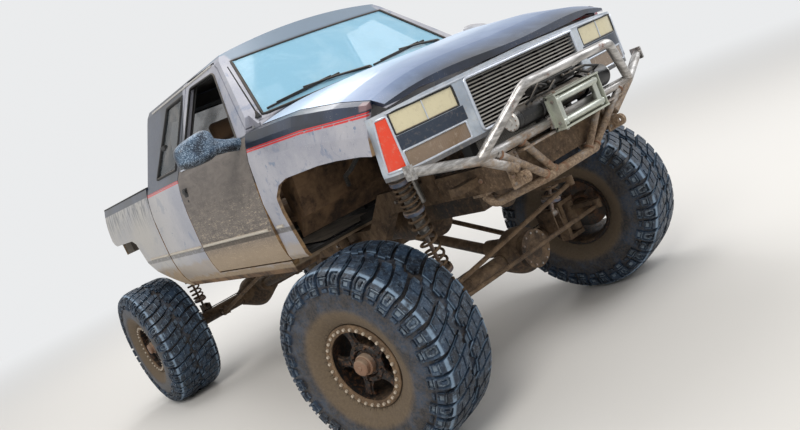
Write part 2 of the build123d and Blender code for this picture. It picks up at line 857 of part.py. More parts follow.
with BuildPart() as pitman_arm:
    with BuildSketch(Plane.XY.offset(axle_z + pitman_plane - pitman_thickness / 2)):
        with Locations((pitman_pivot[0], front_axle_y + pitman_pivot[1])):
            Circle(34)
        with Locations((pitman_end[0], front_axle_y + pitman_end[1])):
            Circle(rod_end_radius)
        with BuildLine():
            foot_a = steered(-24, 0, parked_steer)
            foot_b = steered(24, 0, parked_steer)
            tip_a = steered(-16, -arm_length, parked_steer)
            tip_b = steered(16, -arm_length, parked_steer)
            Polyline(
                *[
                    (pitman_pivot[0] + p[0], front_axle_y + pitman_pivot[1] + p[1])
                    for p in (foot_a, foot_b, tip_b, tip_a)
                ],
                close=True,
            )
        make_face()
    extrude(amount=pitman_thickness)
    with BuildSketch(Plane.XY.offset(axle_z + pitman_plane - pitman_thickness / 2)):
        with Locations(
            (pitman_end[0], front_axle_y + pitman_end[1]),
        ):
            Circle(8 + pin_clearance)
        with Locations((pitman_pivot[0], front_axle_y + pitman_pivot[1])):
            Circle(18 + pin_clearance)
    extrude(amount=pitman_thickness, mode=Mode.SUBTRACT)
keep(pitman_arm, "pitman_arm")

box_floor = axle_z + pitman_plane + pitman_thickness / 2 + seat_gap - sill_z
with BuildPart() as steering_box:
    box((pitman_pivot[0] - 33, rail_x - seat_gap), (-330, -170), (box_floor, 190))
    with BuildSketch(Plane.XY.offset(axle_z + pitman_plane - pitman_thickness / 2 + 2)):
        with Locations((pitman_pivot[0], front_axle_y + pitman_pivot[1])):
            Circle(18)
    extrude(amount=pitman_thickness)
keep(steering_box, "steering_box")

# Door hinges: the arm starts at the bulkhead and its eye holds the door's pin
hinge_x = 950.0
hinge_station = door_front + 98
hinge_heights = (300.0, 600.0)
hinge_eye = 11.0
hinge_pin = 5.0
hinge_running = 0.05
hinge_arm_half = 15.0
hinge_room = 2.0


def hinge_arm(side, height):
    """A bent arm from the bulkhead to the eye on the door's axis."""
    corners = (
        (hinge_x, hinge_station - 7), (hinge_x, hinge_station + 7), (878, hinge_station + 7),
        (816, 486), (830, 478), (888, hinge_station - 7),
    )
    low = sill_z + height - hinge_arm_half
    with BuildSketch(Plane.XY.offset(low)) as plan:
        with BuildLine():
            Polyline(*[(side * x, front_axle_y + y) for x, y in corners], close=True)
        make_face()
        with Locations((side * hinge_x, front_axle_y + hinge_station)):
            Circle(hinge_eye)
            Circle(hinge_pin + hinge_running, mode=Mode.SUBTRACT)
    extrude(plan.sketch, amount=2 * hinge_arm_half)


# Hood hinges: an eye on the hood between two ears on the cowl, at each side
hood_axis_station = 392.0
hood_axis_height = 856.0
hood_eye_x = 781.0
hood_eye_half = 6.0
hood_eye_radius = 9.0
hood_ear_width = 8.0
hood_ear_gap = 5.0
cowl_shelf = 838.0

# CAB
bulkhead_half = 832.0
windshield_base = 885.0
windshield_corner = 430.0
windshield_bow = 110.0
windshield_half = 820.0
windshield_rise = (0.0, 470.0, 450.0)
windshield_length = hypot(windshield_rise[1], windshield_rise[2])


def bow_station(x, front, half, depth):
    """Station of a front edge that is bowed forward at the middle."""
    radius = (half**2 + depth**2) / (2 * depth)
    return front + radius - (radius**2 - x**2) ** 0.5


def windshield_edge(x, setback=0.0):
    front = windshield_corner - windshield_bow
    return bow_station(x, front, windshield_half, windshield_bow) + setback


windshield_front = ((-770, 918), (-618, 1312), (618, 1312), (770, 918))
rear_window = ((-640, 900), (-560, 1262), (560, 1262), (640, 900))
door_outline = (
    (door_front + door_slant, door_bottom), (door_front, 872), (905, 1306), (985, 1356),
    (1486, 1368), (door_rear, 800), (door_rear, door_bottom),
)
door_window = ((628, 850), (962, 1288), (1000, 1306), (1400, 1320), (1420, 1308), (1622, 850))
quarter_window = ((1762, 868), (1575, 1308), (1925, 1306), (2205, 868))


def widened(outline, gap):
    """A convex outline moved outwards by a gap."""
    with BuildSketch(Plane.XY) as flat:
        with BuildLine():
            Polyline(*outline, close=True)
        make_face()
        offset(amount=gap, kind=Kind.INTERSECTION)
    return [tuple(edge.position_at(0))[:2] for edge in flat.face().outer_wire().order_edges()]

with BuildPart() as cabin_space:
    band(
        ((-800, floor_high), (-838, 130), (-866, 450), (-850, 780), (-842, 842), (-628, 1322),
         (-540, 1366), (0, 1394), (540, 1366), (628, 1322), (842, 842), (850, 780), (866, 450),
         (838, 130), (800, floor_high)),
        300,
        cab_rear + 130,
    )
    slab(
        ((585, floor_high), (firewall_face, 180), (firewall_face, 700), (400, 850), (400, 900),
         (560, 900), (980, 1310), (1100, 1400), (cab_rear - 110, 1400), (cab_rear - 76, 1290),
         (cab_rear - 42, 830), (cab_rear - 42, floor_high)),
        -900,
        900,
        mode=Mode.INTERSECT,
    )

with BuildPart() as cab:
    with BuildSketch(cross_plane(door_front)):
        with BuildLine():
            for side in (-1, 1):
                lower_side(side)
                Polyline(
                    *[
                        (side * x, sill_z + z)
                        for x, z in (side_profile[-1], belt_line, eave_line, roof_turn)
                    ]
                )
            ThreePointArc(
                (-roof_turn[0], sill_z + roof_turn[1]),
                (0, sill_z + roof_crown),
                (roof_turn[0], sill_z + roof_turn[1]),
            )
            Line((-side_profile[0][0], sill_z), (side_profile[0][0], sill_z))
        make_face()
    extrude(amount=cab_rear - door_front, dir=(0, 1, 0))
    slab(
        ((640, -5), (door_front + door_slant, 86), (door_front, 872), (door_front, 1500),
         (cab_rear - 75, 1500), (cab_rear - 30, 1300), (cab_rear, 840), (cab_rear, -5)),
        -1000,
        1000,
        mode=Mode.INTERSECT,
    )
    # Cowl and bulkhead between the wings
    slab(((380, 300), (300, 700), (300, 960), (520, 960), (520, 300)), -bulkhead_half, bulkhead_half)
    slab(((520, 300), (380, 300), (440, 300), (520, 180)), -bulkhead_half, bulkhead_half)
    # Windshield slope
    with BuildSketch(Plane.XY.offset(sill_z + windshield_base)):
        with BuildLine():
            ends = windshield_edge(1000)
            middle = windshield_edge(0)
            ThreePointArc(
                (-1000, front_axle_y + ends), (0, front_axle_y + middle), (1000, front_axle_y + ends)
            )
            Polyline(
                (1000, front_axle_y + ends), (1000, front_axle_y - 900),
                (-1000, front_axle_y - 900), (-1000, front_axle_y + ends),
            )
        make_face()
    extrude(amount=1.4 * windshield_length, dir=windshield_rise, mode=Mode.SUBTRACT)
    # Low shelf of the cowl, under the hood's rear edge
    with BuildSketch(Plane.XY.offset(sill_z + cowl_shelf)):
        with BuildLine():
            ends = windshield_edge(1000, -14)
            middle = windshield_edge(0, -14)
            ThreePointArc(
                (-1000, front_axle_y + ends), (0, front_axle_y + middle), (1000, front_axle_y + ends)
            )
            Polyline(
                (1000, front_axle_y + ends), (1000, front_axle_y - 900),
                (-1000, front_axle_y - 900), (-1000, front_axle_y + ends),
            )
        make_face()
    extrude(amount=60, mode=Mode.SUBTRACT)
    add(cabin_space.part, mode=Mode.SUBTRACT)
    # Hollow under the floor, between the sills
    slab(
        ((400, -10), (400, 300), (500, 160), (560, floor_low), (cab_rear + 30, floor_low),
         (cab_rear + 30, -10)),
        -740,
        740,
        mode=Mode.SUBTRACT,
    )
    for side in (-1, 1):
        window_cut(widened(door_outline, door_gap), side)
        window_cut(quarter_window, side)
        # Nothing ahead of the door's front edge stays at the skin
        low, high = sorted((side * 834, side * 1100))
        slab(((200, -20), (200, 872), (door_front + 8, 872), (door_front + door_slant + 8, 86), (640, -20)),
             low, high, mode=Mode.SUBTRACT)
    with BuildSketch(cross_plane(200)):
        with BuildLine():
            Polyline(*[(x, sill_z + z) for x, z in windshield_front], close=True)
        make_face()
    extrude(amount=1200, dir=(0, 1, 0), mode=Mode.SUBTRACT)
    with BuildSketch(cross_plane(cab_rear - 170)):
        with BuildLine():
            Polyline(*[(x, sill_z + z) for x, z in rear_window], close=True)
        make_face()
    extrude(amount=300, dir=(0, 1, 0), mode=Mode.SUBTRACT)
    for side in (-1, 1):
        for height in hinge_heights:
            hinge_arm(side, height)
    # Ears and pins of the hood hinges
    ear_reach = hood_eye_half + hood_ear_gap + hood_ear_width
    for side in (-1, 1):
        for ear_side in (-1, 1):
            middle = side * hood_eye_x + ear_side * (ear_reach - hood_ear_width / 2)
            with Locations(spot(middle, hood_axis_station, (cowl_shelf + hood_axis_height) / 2)):
                Box(hood_ear_width, 2 * hinge_pin, hood_axis_height - cowl_shelf)
        with Locations(spot(side * hood_eye_x, hood_axis_station, hood_axis_height)):
            Cylinder(hinge_pin, 2 * ear_reach, rotation=(0, 90, 0))
keep(cab, "cab")

glass_thickness = 6.0


def inset(outline, gap):
    return widened(outline, -gap)


with BuildPart() as windshield:
    with BuildSketch(Plane.XY.offset(sill_z + windshield_base)):
        with BuildLine():
            for setback in (4.0, 4.0 + glass_thickness * 1.45):
                ends = windshield_edge(900, setback)
                middle = windshield_edge(0, setback)
                ThreePointArc(
                    (-900, front_axle_y + ends), (0, front_axle_y + middle), (900, front_axle_y + ends)
                )
            for x in (-900, 900):
                Line(
                    (x, front_axle_y + windshield_edge(900, 4.0)),
                    (x, front_axle_y + windshield_edge(900, 4.0 + glass_thickness * 1.45)),
                )
        make_face()
    extrude(amount=1.2 * windshield_length, dir=windshield_rise)
    with BuildSketch(cross_plane(200)):
        with BuildLine():
            Polyline(*[(x, sill_z + z) for x, z in inset(windshield_front, seat_gap)], close=True)
        make_face()
    extrude(amount=1200, dir=(0, 1, 0), mode=Mode.INTERSECT)
keep(windshield, "windshield")

with BuildPart() as cab_windows:
    slab(
        ((cab_rear - 24, 890), (cab_rear - 18, 890), (cab_rear - 48, 1275), (cab_rear - 54, 1275)),
        -700,
        700,
    )
    with BuildSketch(cross_plane(cab_rear - 170)):
        with BuildLine():
            Polyline(*[(x, sill_z + z) for x, z in inset(rear_window, seat_gap)], close=True)
        make_face()
    extrude(amount=300, dir=(0, 1, 0), mode=Mode.INTERSECT)
with BuildPart() as quarter_right:
    band(
        ((belt_line[0] - 6, belt_line[1]), (eave_line[0] - 6, eave_line[1]),
         (eave_line[0] - 12, eave_line[1]), (belt_line[0] - 12, belt_line[1])),
        1500, 2300, -1,
    )
    side_trim(inset(quarter_window, seat_gap), -1)
with BuildPart() as cab_glass:
    add(cab_windows.part)
    add(quarter_right.part)
    mirror(quarter_right.part, about=Plane.YZ)
keep(cab_glass, "cab_windows")

# DOORS AND MIRRORS
for name, side in (("right", -1), ("left", 1)):
    with BuildPart() as door:
        side_slab(side, door_front, door_rear, door_depth, frame_depth)
        side_trim(door_outline, side)
        window_cut(door_window, side)
        for height in hinge_heights:
            # Pocket for the hinge arm, and the pin across it
            reach = hinge_x + hinge_eye + hinge_room
            low = sill_z + height - hinge_arm_half - hinge_room
            with BuildSketch(Plane.XY.offset(low)):
                with Locations((side * (reach - 75), front_axle_y + hinge_station - 55)):
                    Rectangle(150, 2 * (55 + hinge_eye + hinge_room))
            extrude(amount=2 * (hinge_arm_half + hinge_room), mode=Mode.SUBTRACT)
            with BuildSketch(Plane.XY.offset(low - 1)):
                with Locations((side * hinge_x, front_axle_y + hinge_station)):
                    Circle(hinge_pin)
            extrude(amount=2 * (hinge_arm_half + hinge_room) + 2)
    keep(door, f"door_{name}")
    with BuildPart() as door_mirror:
        box(sorted((side * 1090, side * 1290)), (545, 615), (800, 960))
        fillet(door_mirror.edges().filter_by(Axis.X), 22)
        rod(spot(side * 1100, 580, 850), spot(side * (belt_line[0] + 18), 590, 838), 18)
        box(sorted((side * (belt_line[0] - 4), side * (belt_line[0] + 28))), (560, 640), (806, 846))
        add(door.part, mode=Mode.SUBTRACT)
    keep(door_mirror, f"mirror_{name}")

# WINGS, HOOD AND NOSE
hood_gap_x = 838.0
# Columns: station, skin's half width at the front profile's widest, height of the hood seam
wing_sections = ((600, 0, 876), (-60, 3, 840), (-425, 16, 782), (fender_front - 5, 38, 731))
# Columns: station, height at the seam, height at the middle
hood_sections = ((440, 872, 926), (-60, 842, 902), (-425, 784, 850), (-650, 734, 794), (-840, 640, 712))
arch_outline = (
    (330, 60), (352, 262), (356, 380), (336, 470), (262, 528), (160, 550),
    (-190, 552), (-360, 542), (-540, 520), (-640, 498), (-760, 450), (-760, 60),
)
def nose_line(gap):
    """The slanted line between the wings and the nose, from the top down."""
    return ((fender_front + gap, 1000), (fender_front + gap, 700), (fender_front + 58 + gap, 370),
            (fender_front + 58 + gap, 200))


for name, side in (("right", -1), ("left", 1)):
    with BuildPart() as fender:
        for station, narrow, seam in wing_sections:
            squash = (seam - 62) / side_profile[-1][1]
            outer = [(x - narrow, z * squash) for x, z in side_profile]
            top = [(outer[-1][0] - 22, seam - 12), (hood_gap_x, seam)]
            low = [
                (hood_gap_x, seam - side_skin),
                (outer[-1][0] - side_skin - 16, seam - side_skin - 14),
                (outer[3][0] - side_skin, outer[3][1]),
                (outer[2][0] - side_skin, outer[2][1]),
                (outer[1][0] - side_skin, outer[1][1]),
                (outer[0][0] - side_skin, outer[0][1]),
                outer[0],
            ]
            with BuildSketch(cross_plane(station)):
                with BuildLine():
                    Polyline(*[(side * x, sill_z + z) for x, z in outer + top + low])
                make_face()
        loft(ruled=True)
        reach = (0, 1100) if side > 0 else (-1100, 0)
        slab(((door_front + door_slant - door_gap, door_bottom), (door_front - door_gap, 872),
              (door_front - door_gap, 1000), *nose_line(seat_gap),
              (-100, 200), (330, 95)), *reach, mode=Mode.INTERSECT)
        slab(arch_outline, *reach, mode=Mode.SUBTRACT)
        # Flange against the bulkhead
        box(sorted((side * (bulkhead_half + seat_gap), side * 935)), (440, 490), (650, 700))
    keep(fender, f"fender_{name}")

with BuildPart() as hood:
    for station, seam, crown in hood_sections:
        with BuildSketch(cross_plane(station)):
            with BuildLine():
                Spline(
                    (-hood_gap_x + panel_gap, sill_z + seam),
                    (-640, sill_z + seam + 0.72 * (crown - seam)),
                    (0, sill_z + crown),
                    (640, sill_z + seam + 0.72 * (crown - seam)),
                    (hood_gap_x - panel_gap, sill_z + seam),
                )
                Polyline(
                    (hood_gap_x - panel_gap, sill_z + seam),
                    (hood_gap_x - panel_gap, sill_z + seam - 20),
                    (640, sill_z + seam + 0.72 * (crown - seam) - 24),
                    (0, sill_z + crown - 24),
                    (-640, sill_z + seam + 0.72 * (crown - seam) - 24),
                    (-hood_gap_x + panel_gap, sill_z + seam - 20),
                    (-hood_gap_x + panel_gap, sill_z + seam),
                )
            make_face()
    loft(ruled=True)
    # Bowed front edge and rear edge
    with BuildSketch(Plane.XY.offset(sill_z + 500)):
        with BuildLine():
            ThreePointArc(
                (-900, front_axle_y - 715), (0, front_axle_y - 825), (900, front_axle_y - 715)
            )
            Line((900, front_axle_y - 715), (900, front_axle_y + 405))
            ThreePointArc(
                (900, front_axle_y + 405), (0, front_axle_y + 292), (-900, front_axle_y + 405)
            )
            Line((-900, front_axle_y + 405), (-900, front_axle_y - 715))
        make_face()
    extrude(amount=600, mode=Mode.INTERSECT)
    # Hinge arms with their eyes, under the rear corners
    for side in (-1, 1):
        inner = side * hood_eye_x - hood_eye_half
        outer = side * hood_eye_x + hood_eye_half
        slab(
            (
                (hood_axis_station, hood_axis_height + hood_eye_radius),
                (hood_axis_station - 28, hood_axis_height + 16),
                (hood_axis_station - 43, hood_axis_height + 12),
                (hood_axis_station - 36, hood_axis_height - 4),
                (hood_axis_station, hood_axis_height - hood_eye_radius),
            ),
            inner,
            outer,
        )
        with Locations(spot(side * hood_eye_x, hood_axis_station, hood_axis_height)):
            Cylinder(hood_eye_radius, 2 * hood_eye_half, rotation=(0, 90, 0))
            Cylinder(hinge_pin + hinge_running, 3 * hood_eye_half, rotation=(0, 90, 0), mode=Mode.SUBTRACT)
keep(hood, "hood")

# The nose's front face in plan: half width, station
nose_plan = ((0, -812), (420, -801), (700, -776), (850, -744), (892, -712), (908, -664))


def nose_arc(setback):
    """The bowed front edge across the nose, set back from its front face."""
    half = [(x, front_axle_y + y + setback) for x, y in nose_plan]
    Spline(*[(-x, y) for x, y in reversed(half[1:])], *half)


def nose_band(setback, depth, low, high):
    """A bowed wall across the nose between two heights."""
    side = nose_plan[-1][0]
    corner = front_axle_y + nose_plan[-1][1] + setback
    with BuildSketch(Plane.XY.offset(sill_z + low)) as plan:
        with BuildLine():
            nose_arc(setback)
            Line((side, corner), (side, corner + depth))
            nose_arc(setback + depth)
            Line((-side, corner + depth), (-side, corner))
        make_face()
    extrude(plan.sketch, amount=high - low)


def nose_hole(x_low, x_high, low, high, mode=Mode.SUBTRACT):
    """A box-shaped cut through the nose, or what stays of it."""
    with BuildSketch(Plane.XY.offset(sill_z + low)) as plan:
        with Locations(((x_low + x_high) / 2, front_axle_y - 700)):
            Rectangle(x_high - x_low, 500)
    extrude(plan.sketch, amount=high - low, mode=mode)


def marker_outline(gap):
    """The side view of the side markers, ahead of their slanted rear edge."""
    low, high = marker_opening[2:]
    return ((-1000, low + gap), (-1000, high - gap), (fender_front - 42 - gap, high - gap),
            (fender_front + 4 - gap, low + gap))


def nose_trim():
    """Keeps what lies ahead of the wings' front edges and under the hood's lip."""
    slab(((-1000, 1000), (-1000, 200), *reversed(nose_line(0))), -1000, 1000, mode=Mode.INTERSECT)
    with BuildSketch(cross_plane(-1000)) as face:
        with BuildLine():
            Polyline(
                *[
                    (x, sill_z + z)
                    for x, z in ((-1000, 300), (-1000, 656), (-640, 674), (0, 687), (640, 674),
                                 (1000, 656), (1000, 300))
                ],
                close=True,
            )
        make_face()
    extrude(face.sketch, amount=600, dir=(0, 1, 0), mode=Mode.INTERSECT)


# Columns: low and high half width, low and high height
head_opening = (487, 850, 549, 650)
turn_opening = (487, 850, 390, 473)
grille_opening = (-414, 414, 395, 652)
marker_opening = (858, 940, 404, 642)
with BuildPart() as header_panel:
    nose_band(0, nose_depth, 366, 700)
    nose_trim()
    for x_low, x_high, low, high in (head_opening, turn_opening):
        nose_hole(x_low, x_high, low, high)
        nose_hole(-x_high, -x_low, low, high)
    slab(marker_outline(0), marker_opening[0], marker_opening[1], mode=Mode.SUBTRACT)
    slab(marker_outline(0), -marker_opening[1], -marker_opening[0], mode=Mode.SUBTRACT)
    nose_hole(*grille_opening)
keep(header_panel, "header_panel")

for piece_name, opening, setback in (("headlamps", head_opening, 6), ("turn_lamps", turn_opening, 6)):
    x_low, x_high, low, high = opening
    with BuildPart() as lamp_right:
        nose_band(setback, 50, low + seat_gap, high - seat_gap)
        nose_hole(-x_high + seat_gap, -x_low - seat_gap, low, high, mode=Mode.INTERSECT)
        nose_trim()
    with BuildPart() as lamps:
        add(lamp_right.part)
        mirror(lamp_right.part, about=Plane.YZ)
    keep(lamps, piece_name)

with BuildPart() as side_markers:
    nose_band(0, nose_depth, 366, 700)
    nose_trim()
    slab(marker_outline(seat_gap), -marker_opening[1], marker_opening[1], mode=Mode.INTERSECT)
    with Locations(spot(0, nose_plan[0][1], marker_opening[3])):
        Box(2 * (marker_opening[0] + seat_gap), 800, 800, mode=Mode.SUBTRACT)
keep(side_markers, "side_markers")

slat_count = 12
with BuildPart() as grille:
    x_low, x_high, low, high = grille_opening
    nose_band(34, 8, low + seat_gap, high - seat_gap)
    pitch = (high - low) / slat_count
    for k in range(slat_count):
        middle = low + (k + 0.5) * pitch
        nose_band(10, 26, middle - 4, middle + 4)
    nose_hole(x_low + seat_gap, x_high - seat_gap, low, high, mode=Mode.INTERSECT)
keep(grille, "grille")

# BED
bed_side_outline = (
    (bed_front, 2), (bed_front + 70, 2), (wheelbase - 590, 190), (wheelbase - 472, 280),
    (wheelbase - 432, 380), (wheelbase - 385, 468), (wheelbase - 300, 504), (bed_rear - 90, 504),
    (bed_rear - 42, 520), (bed_rear, 560), (bed_rear, bed_top), (bed_front, bed_top),
)
tub_x = 640.0
tub_front = wheelbase - 530.0
gate_half = 790.0
gate_axis_setback = 27.0
gate_axis_height = 432.0
gate_pin = 9.0
ear_x = gate_half + 14
bed_sides = []
for side in (-1, 1):
    with BuildPart() as bed_side:
        with BuildSketch(cross_plane(bed_front)) as face:
            with BuildLine():
                lower_side(side)
                Polyline(
                    *[
                        (side * x, sill_z + z)
                        for x, z in (
                            (930, 800), (912, bed_top), (838, bed_top), (838, 824), (890, 790),
                            (900, 700), (905, 450), (900, 120), (862, 0), (900, 0),
                        )
                    ]
                )
            make_face()
        extrude(face.sketch, amount=bed_rear - bed_front, dir=(0, 1, 0))
        side_trim(bed_side_outline, side)
    bed_sides.append(bed_side.part)
with BuildPart() as bed:
    for side, side_part in zip((-1, 1), bed_sides):
        add(side_part)
        # Wheel tub
        box(
            sorted((side * tub_x, side * (tub_x + 8))),
            (tub_front, bed_rear - 2),
            (bed_floor - 30, 560),
        )
        box(sorted((side * tub_x, side * 902)), (tub_front, bed_rear - 2), (552, 560))
        box(sorted((side * tub_x, side * 902)), (tub_front, tub_front + 8), (bed_floor - 30, 560))
        box(sorted((side * tub_x, side * 902)), (bed_rear - 10, bed_rear - 2), (bed_floor - 10, 560))
        # Ear for the tailgate's trunnion
        with BuildSketch(side_sketch_plane(side * ear_x - 6)):
            with Locations(at(bed_rear + gate_axis_setback, gate_axis_height)):
                Circle(gate_pin + 9)
            with Locations(at(bed_rear + gate_axis_setback / 2 - 5, gate_axis_height)):
                Rectangle(gate_axis_setback + 10, 2 * (gate_pin + 9))
        extrude(amount=12)
        with BuildSketch(side_sketch_plane(side * ear_x - 8)):
            with Locations(at(bed_rear + gate_axis_setback, gate_axis_height)):
                Circle(gate_pin + hinge_running)
        extrude(amount=16, mode=Mode.SUBTRACT)
    box((-902, 902), (bed_front, tub_front + 4), (bed_floor - 30, bed_floor))
    box((-tub_x - 4, tub_x + 4), (tub_front, bed_rear - 2), (bed_floor - 30, bed_floor))
    box((-902, 902), (bed_front, bed_front + 24), (bed_floor - 30, bed_top - 4))
    for y in bed_mount_stations:
        box((-640, 640), (y, y + 60), (bed_rib_low, bed_floor - 28))
keep(bed, "bed")

hitch_inner = 51.5
hitch_outer = 64.0
hitch_mouth = bed_rear + 120.0
hitch_depth = 110.0
hitch_pin_bore = 8.2
with BuildPart() as rear_bumper:
    box((-420, 420), (rail_end + seat_gap, rail_end + 14), (100, 245))
    tube_path((spot(-560, bed_rear + 26, 190), spot(560, bed_rear + 26, 190)), 10, 34)
    # Hitch receiver and its pin's hole
    box((-hitch_outer / 2, hitch_outer / 2), (rail_end + 10, hitch_mouth), (92, 92 + hitch_outer))
    with BuildSketch(cross_plane(hitch_mouth + 5)):
        with Locations((0, sill_z + 92 + hitch_outer / 2)):
            Rectangle(hitch_inner, hitch_inner)
    extrude(amount=-(hitch_depth + 5), dir=(0, 1, 0), mode=Mode.SUBTRACT)
    with BuildSketch(side_sketch_plane(-hitch_outer)):
        with Locations(at(hitch_mouth - 45, 92 + hitch_outer / 2)):
            Circle(hitch_pin_bore)
    extrude(amount=2 * hitch_outer, mode=Mode.SUBTRACT)
keep(rear_bumper, "rear_bumper")

with BuildPart() as tailgate:
    slab(
        ((bed_rear + 6, 420), (bed_rear + 48, 420), (bed_rear + 52, bed_top - 4),
         (bed_rear + 8, bed_top - 4)),
        -gate_half,
        gate_half,
    )
    with BuildSketch(side_sketch_plane(-ear_x - 8)):
        with Locations(at(bed_rear + gate_axis_setback, gate_axis_height)):
            Circle(gate_pin)
    extrude(amount=2 * (ear_x + 8))
keep(tailgate, "tailgate")

with BuildPart() as tail_lamps:
    for side in (-1, 1):
        box(
            sorted((side * (gate_half + 12), side * 900)),
            (bed_rear + seat_gap, bed_rear + 40),
            (580, 810),
        )
keep(tail_lamps, "tail_lamps")

# INTERIOR
with BuildPart() as seats:
    for x in (-400, 400):
        box((x - 250, x + 250), (1180, 1700), (180, 330))
        slab(((1600, 330), (1760, 330), (1900, 900), (1800, 900)), x - 240, x + 240)
        box((x - 200, x + 200), (1240, 1640), (floor_high + seat_gap, 182))
    box((-560, 560), (cab_rear - 390, cab_rear - 110), (floor_high + seat_gap, 330))
    box((-560, 560), (cab_rear - 180, cab_rear - 70), (328, 760))
keep(seats, "seats")

with BuildPart() as dashboard:
    slab(
        ((420, 850), (760, 850), (800, 780), (760, 560), (640, 520), (firewall_face + seat_gap, 520),
         (firewall_face + seat_gap, 700)),
        -800,
        800,
    )
    rod(spot(400, 740, 700), spot(400, 1000, 800), 32)
keep(dashboard, "dashboard")

wheel_normal = Vector(0, 260, 100).normalized()
with BuildPart() as steering_wheel:
    wheel_center = Vector(*spot(400, 1000, 800)) + wheel_normal * (40 + seat_gap)
    with Locations(Plane(origin=wheel_center, x_dir=(1, 0, 0), z_dir=wheel_normal)):
        Torus(190, 15)
        Cylinder(45, 80)
        for turn in (0, 120, 240):
            with Locations(Rotation(0, 0, turn)):
                Box(36, 190, 14, align=(Align.CENTER, Align.MIN, Align.CENTER))
keep(steering_wheel, "steering_wheel")
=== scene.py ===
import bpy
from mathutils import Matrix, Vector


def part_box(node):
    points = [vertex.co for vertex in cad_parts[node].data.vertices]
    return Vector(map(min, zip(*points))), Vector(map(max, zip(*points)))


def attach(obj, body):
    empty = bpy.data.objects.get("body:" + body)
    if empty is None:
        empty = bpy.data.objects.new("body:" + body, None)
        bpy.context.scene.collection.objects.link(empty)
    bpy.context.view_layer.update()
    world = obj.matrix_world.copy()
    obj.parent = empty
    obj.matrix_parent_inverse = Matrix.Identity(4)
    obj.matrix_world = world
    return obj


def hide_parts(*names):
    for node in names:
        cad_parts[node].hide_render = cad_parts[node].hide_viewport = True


bl_info = {
    "name": "Lifted off-road pickup",
    "version": (1, 0, 0),
    "blender": (4, 5, 0),
    "location": "View3D > Sidebar > Pickup",
    "description": "Dresses a lifted off-road pickup with its tyres, lamps, trim, seats and finishes",
    "category": "Add Mesh",
}

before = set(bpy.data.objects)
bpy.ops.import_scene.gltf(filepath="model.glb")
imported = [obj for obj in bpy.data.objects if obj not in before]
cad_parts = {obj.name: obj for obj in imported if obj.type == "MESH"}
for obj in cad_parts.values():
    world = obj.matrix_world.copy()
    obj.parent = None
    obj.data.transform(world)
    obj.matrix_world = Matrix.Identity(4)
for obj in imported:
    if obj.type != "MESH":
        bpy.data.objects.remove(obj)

import math

import bmesh
import bpy
from bpy.props import FloatProperty, FloatVectorProperty, IntProperty, PointerProperty
from mathutils import Matrix, Vector
from mathutils.bvhtree import BVHTree

# The truck's own marks, in metres: stations run back from the front axle, heights up from the sill
TYRE_RADIUS = 0.559
FRONT_OVERHANG = 1.081
WHEELBASE = 3.590
# A tyre stands on the edges of a lug, so its middle is a little lower than its radius
LUG_HALF_ANGLE = math.pi / 20 * 0.6 * 0.86
AXLE_Z = TYRE_RADIUS * math.cos(LUG_HALF_ANGLE)
SILL_Z = AXLE_Z + 0.460
FRONT_AXLE_Y = FRONT_OVERHANG - (FRONT_OVERHANG + WHEELBASE + TYRE_RADIUS) / 2
REAR_AXLE_Y = FRONT_AXLE_Y + WHEELBASE
PARKED_STEER = 15.0
SIDES = ((-1, "right"), (1, "left"))
BACKDROP = 0.92
LAMP_SKY = 0.62
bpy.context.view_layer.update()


def spot(x, station, height):
    """A point from its place across the truck, its station and its height above the sill."""
    return Vector((x, FRONT_AXLE_Y + station, SILL_Z + height))


def tint(red, green, blue):
    """A colour as it is seen, turned into the linear values that a shader takes."""
    return tuple(c / 12.92 if c <= 0.04045 else ((c + 0.055) / 1.055) ** 2.4 for c in (red, green, blue)) + (1.0,)


# FINISHES


class Reading:
    """A shader socket that can stand in a sum."""

    def __init__(self, finish, socket):
        self.finish = finish
        self.socket = socket

    def math(self, kind, first, second=None):
        values = {0: first} if second is None else {0: first, 1: second}
        return self.finish.node("ShaderNodeMath", {"operation": kind}, values)

    def __add__(self, other):
        return self.math("ADD", self, other)

    def __radd__(self, other):
        return self.math("ADD", other, self)

    def __sub__(self, other):
        return self.math("SUBTRACT", self, other)

    def __rsub__(self, other):
        return self.math("SUBTRACT", other, self)

    def __mul__(self, other):
        return self.math("MULTIPLY", self, other)

    def __rmul__(self, other):
        return self.math("MULTIPLY", other, self)

    def __truediv__(self, other):
        return self.math("DIVIDE", self, other)

    def __abs__(self):
        return self.math("ABSOLUTE", self)

    def at_least(self, other):
        return self.math("MAXIMUM", self, other)

    def at_most(self, other):
        return self.math("MINIMUM", self, other)

    def root(self):
        return self.math("SQRT", self)

    def rise(self, low, high, start=0.0, end=1.0, soft=True):
        """A value that runs from start to end while this one runs from low to high."""
        settings = {"interpolation_type": "SMOOTHSTEP" if soft else "LINEAR", "clamp": True}
        values = {"Value": self, "From Min": low, "From Max": high, "To Min": start, "To Max": end}
        return self.finish.node("ShaderNodeMapRange", settings, values)

    def fall(self, low, high):
        return self.rise(low, high, 1.0, 0.0)

    def coat(self, mask, above):
        """This colour with another laid over it where the mask is."""
        return self.finish.mix(mask, self, above)

    def part(self, index):
        return self.finish.node("ShaderNodeSeparateXYZ", {}, {0: self}, index)


class Wiring:
    """A node tree whose nodes are made in one way."""

    def __init__(self, tree):
        self.tree = tree

    def node(self, kind, settings, values, output=0):
        made = self.tree.nodes.new(kind)
        for key, value in settings.items():
            setattr(made, key, value)
        for key, value in values.items():
            if isinstance(value, Reading):
                self.tree.links.new(value.socket, made.inputs[key])
            else:
                made.inputs[key].default_value = value
        return Reading(self, made.outputs[output])


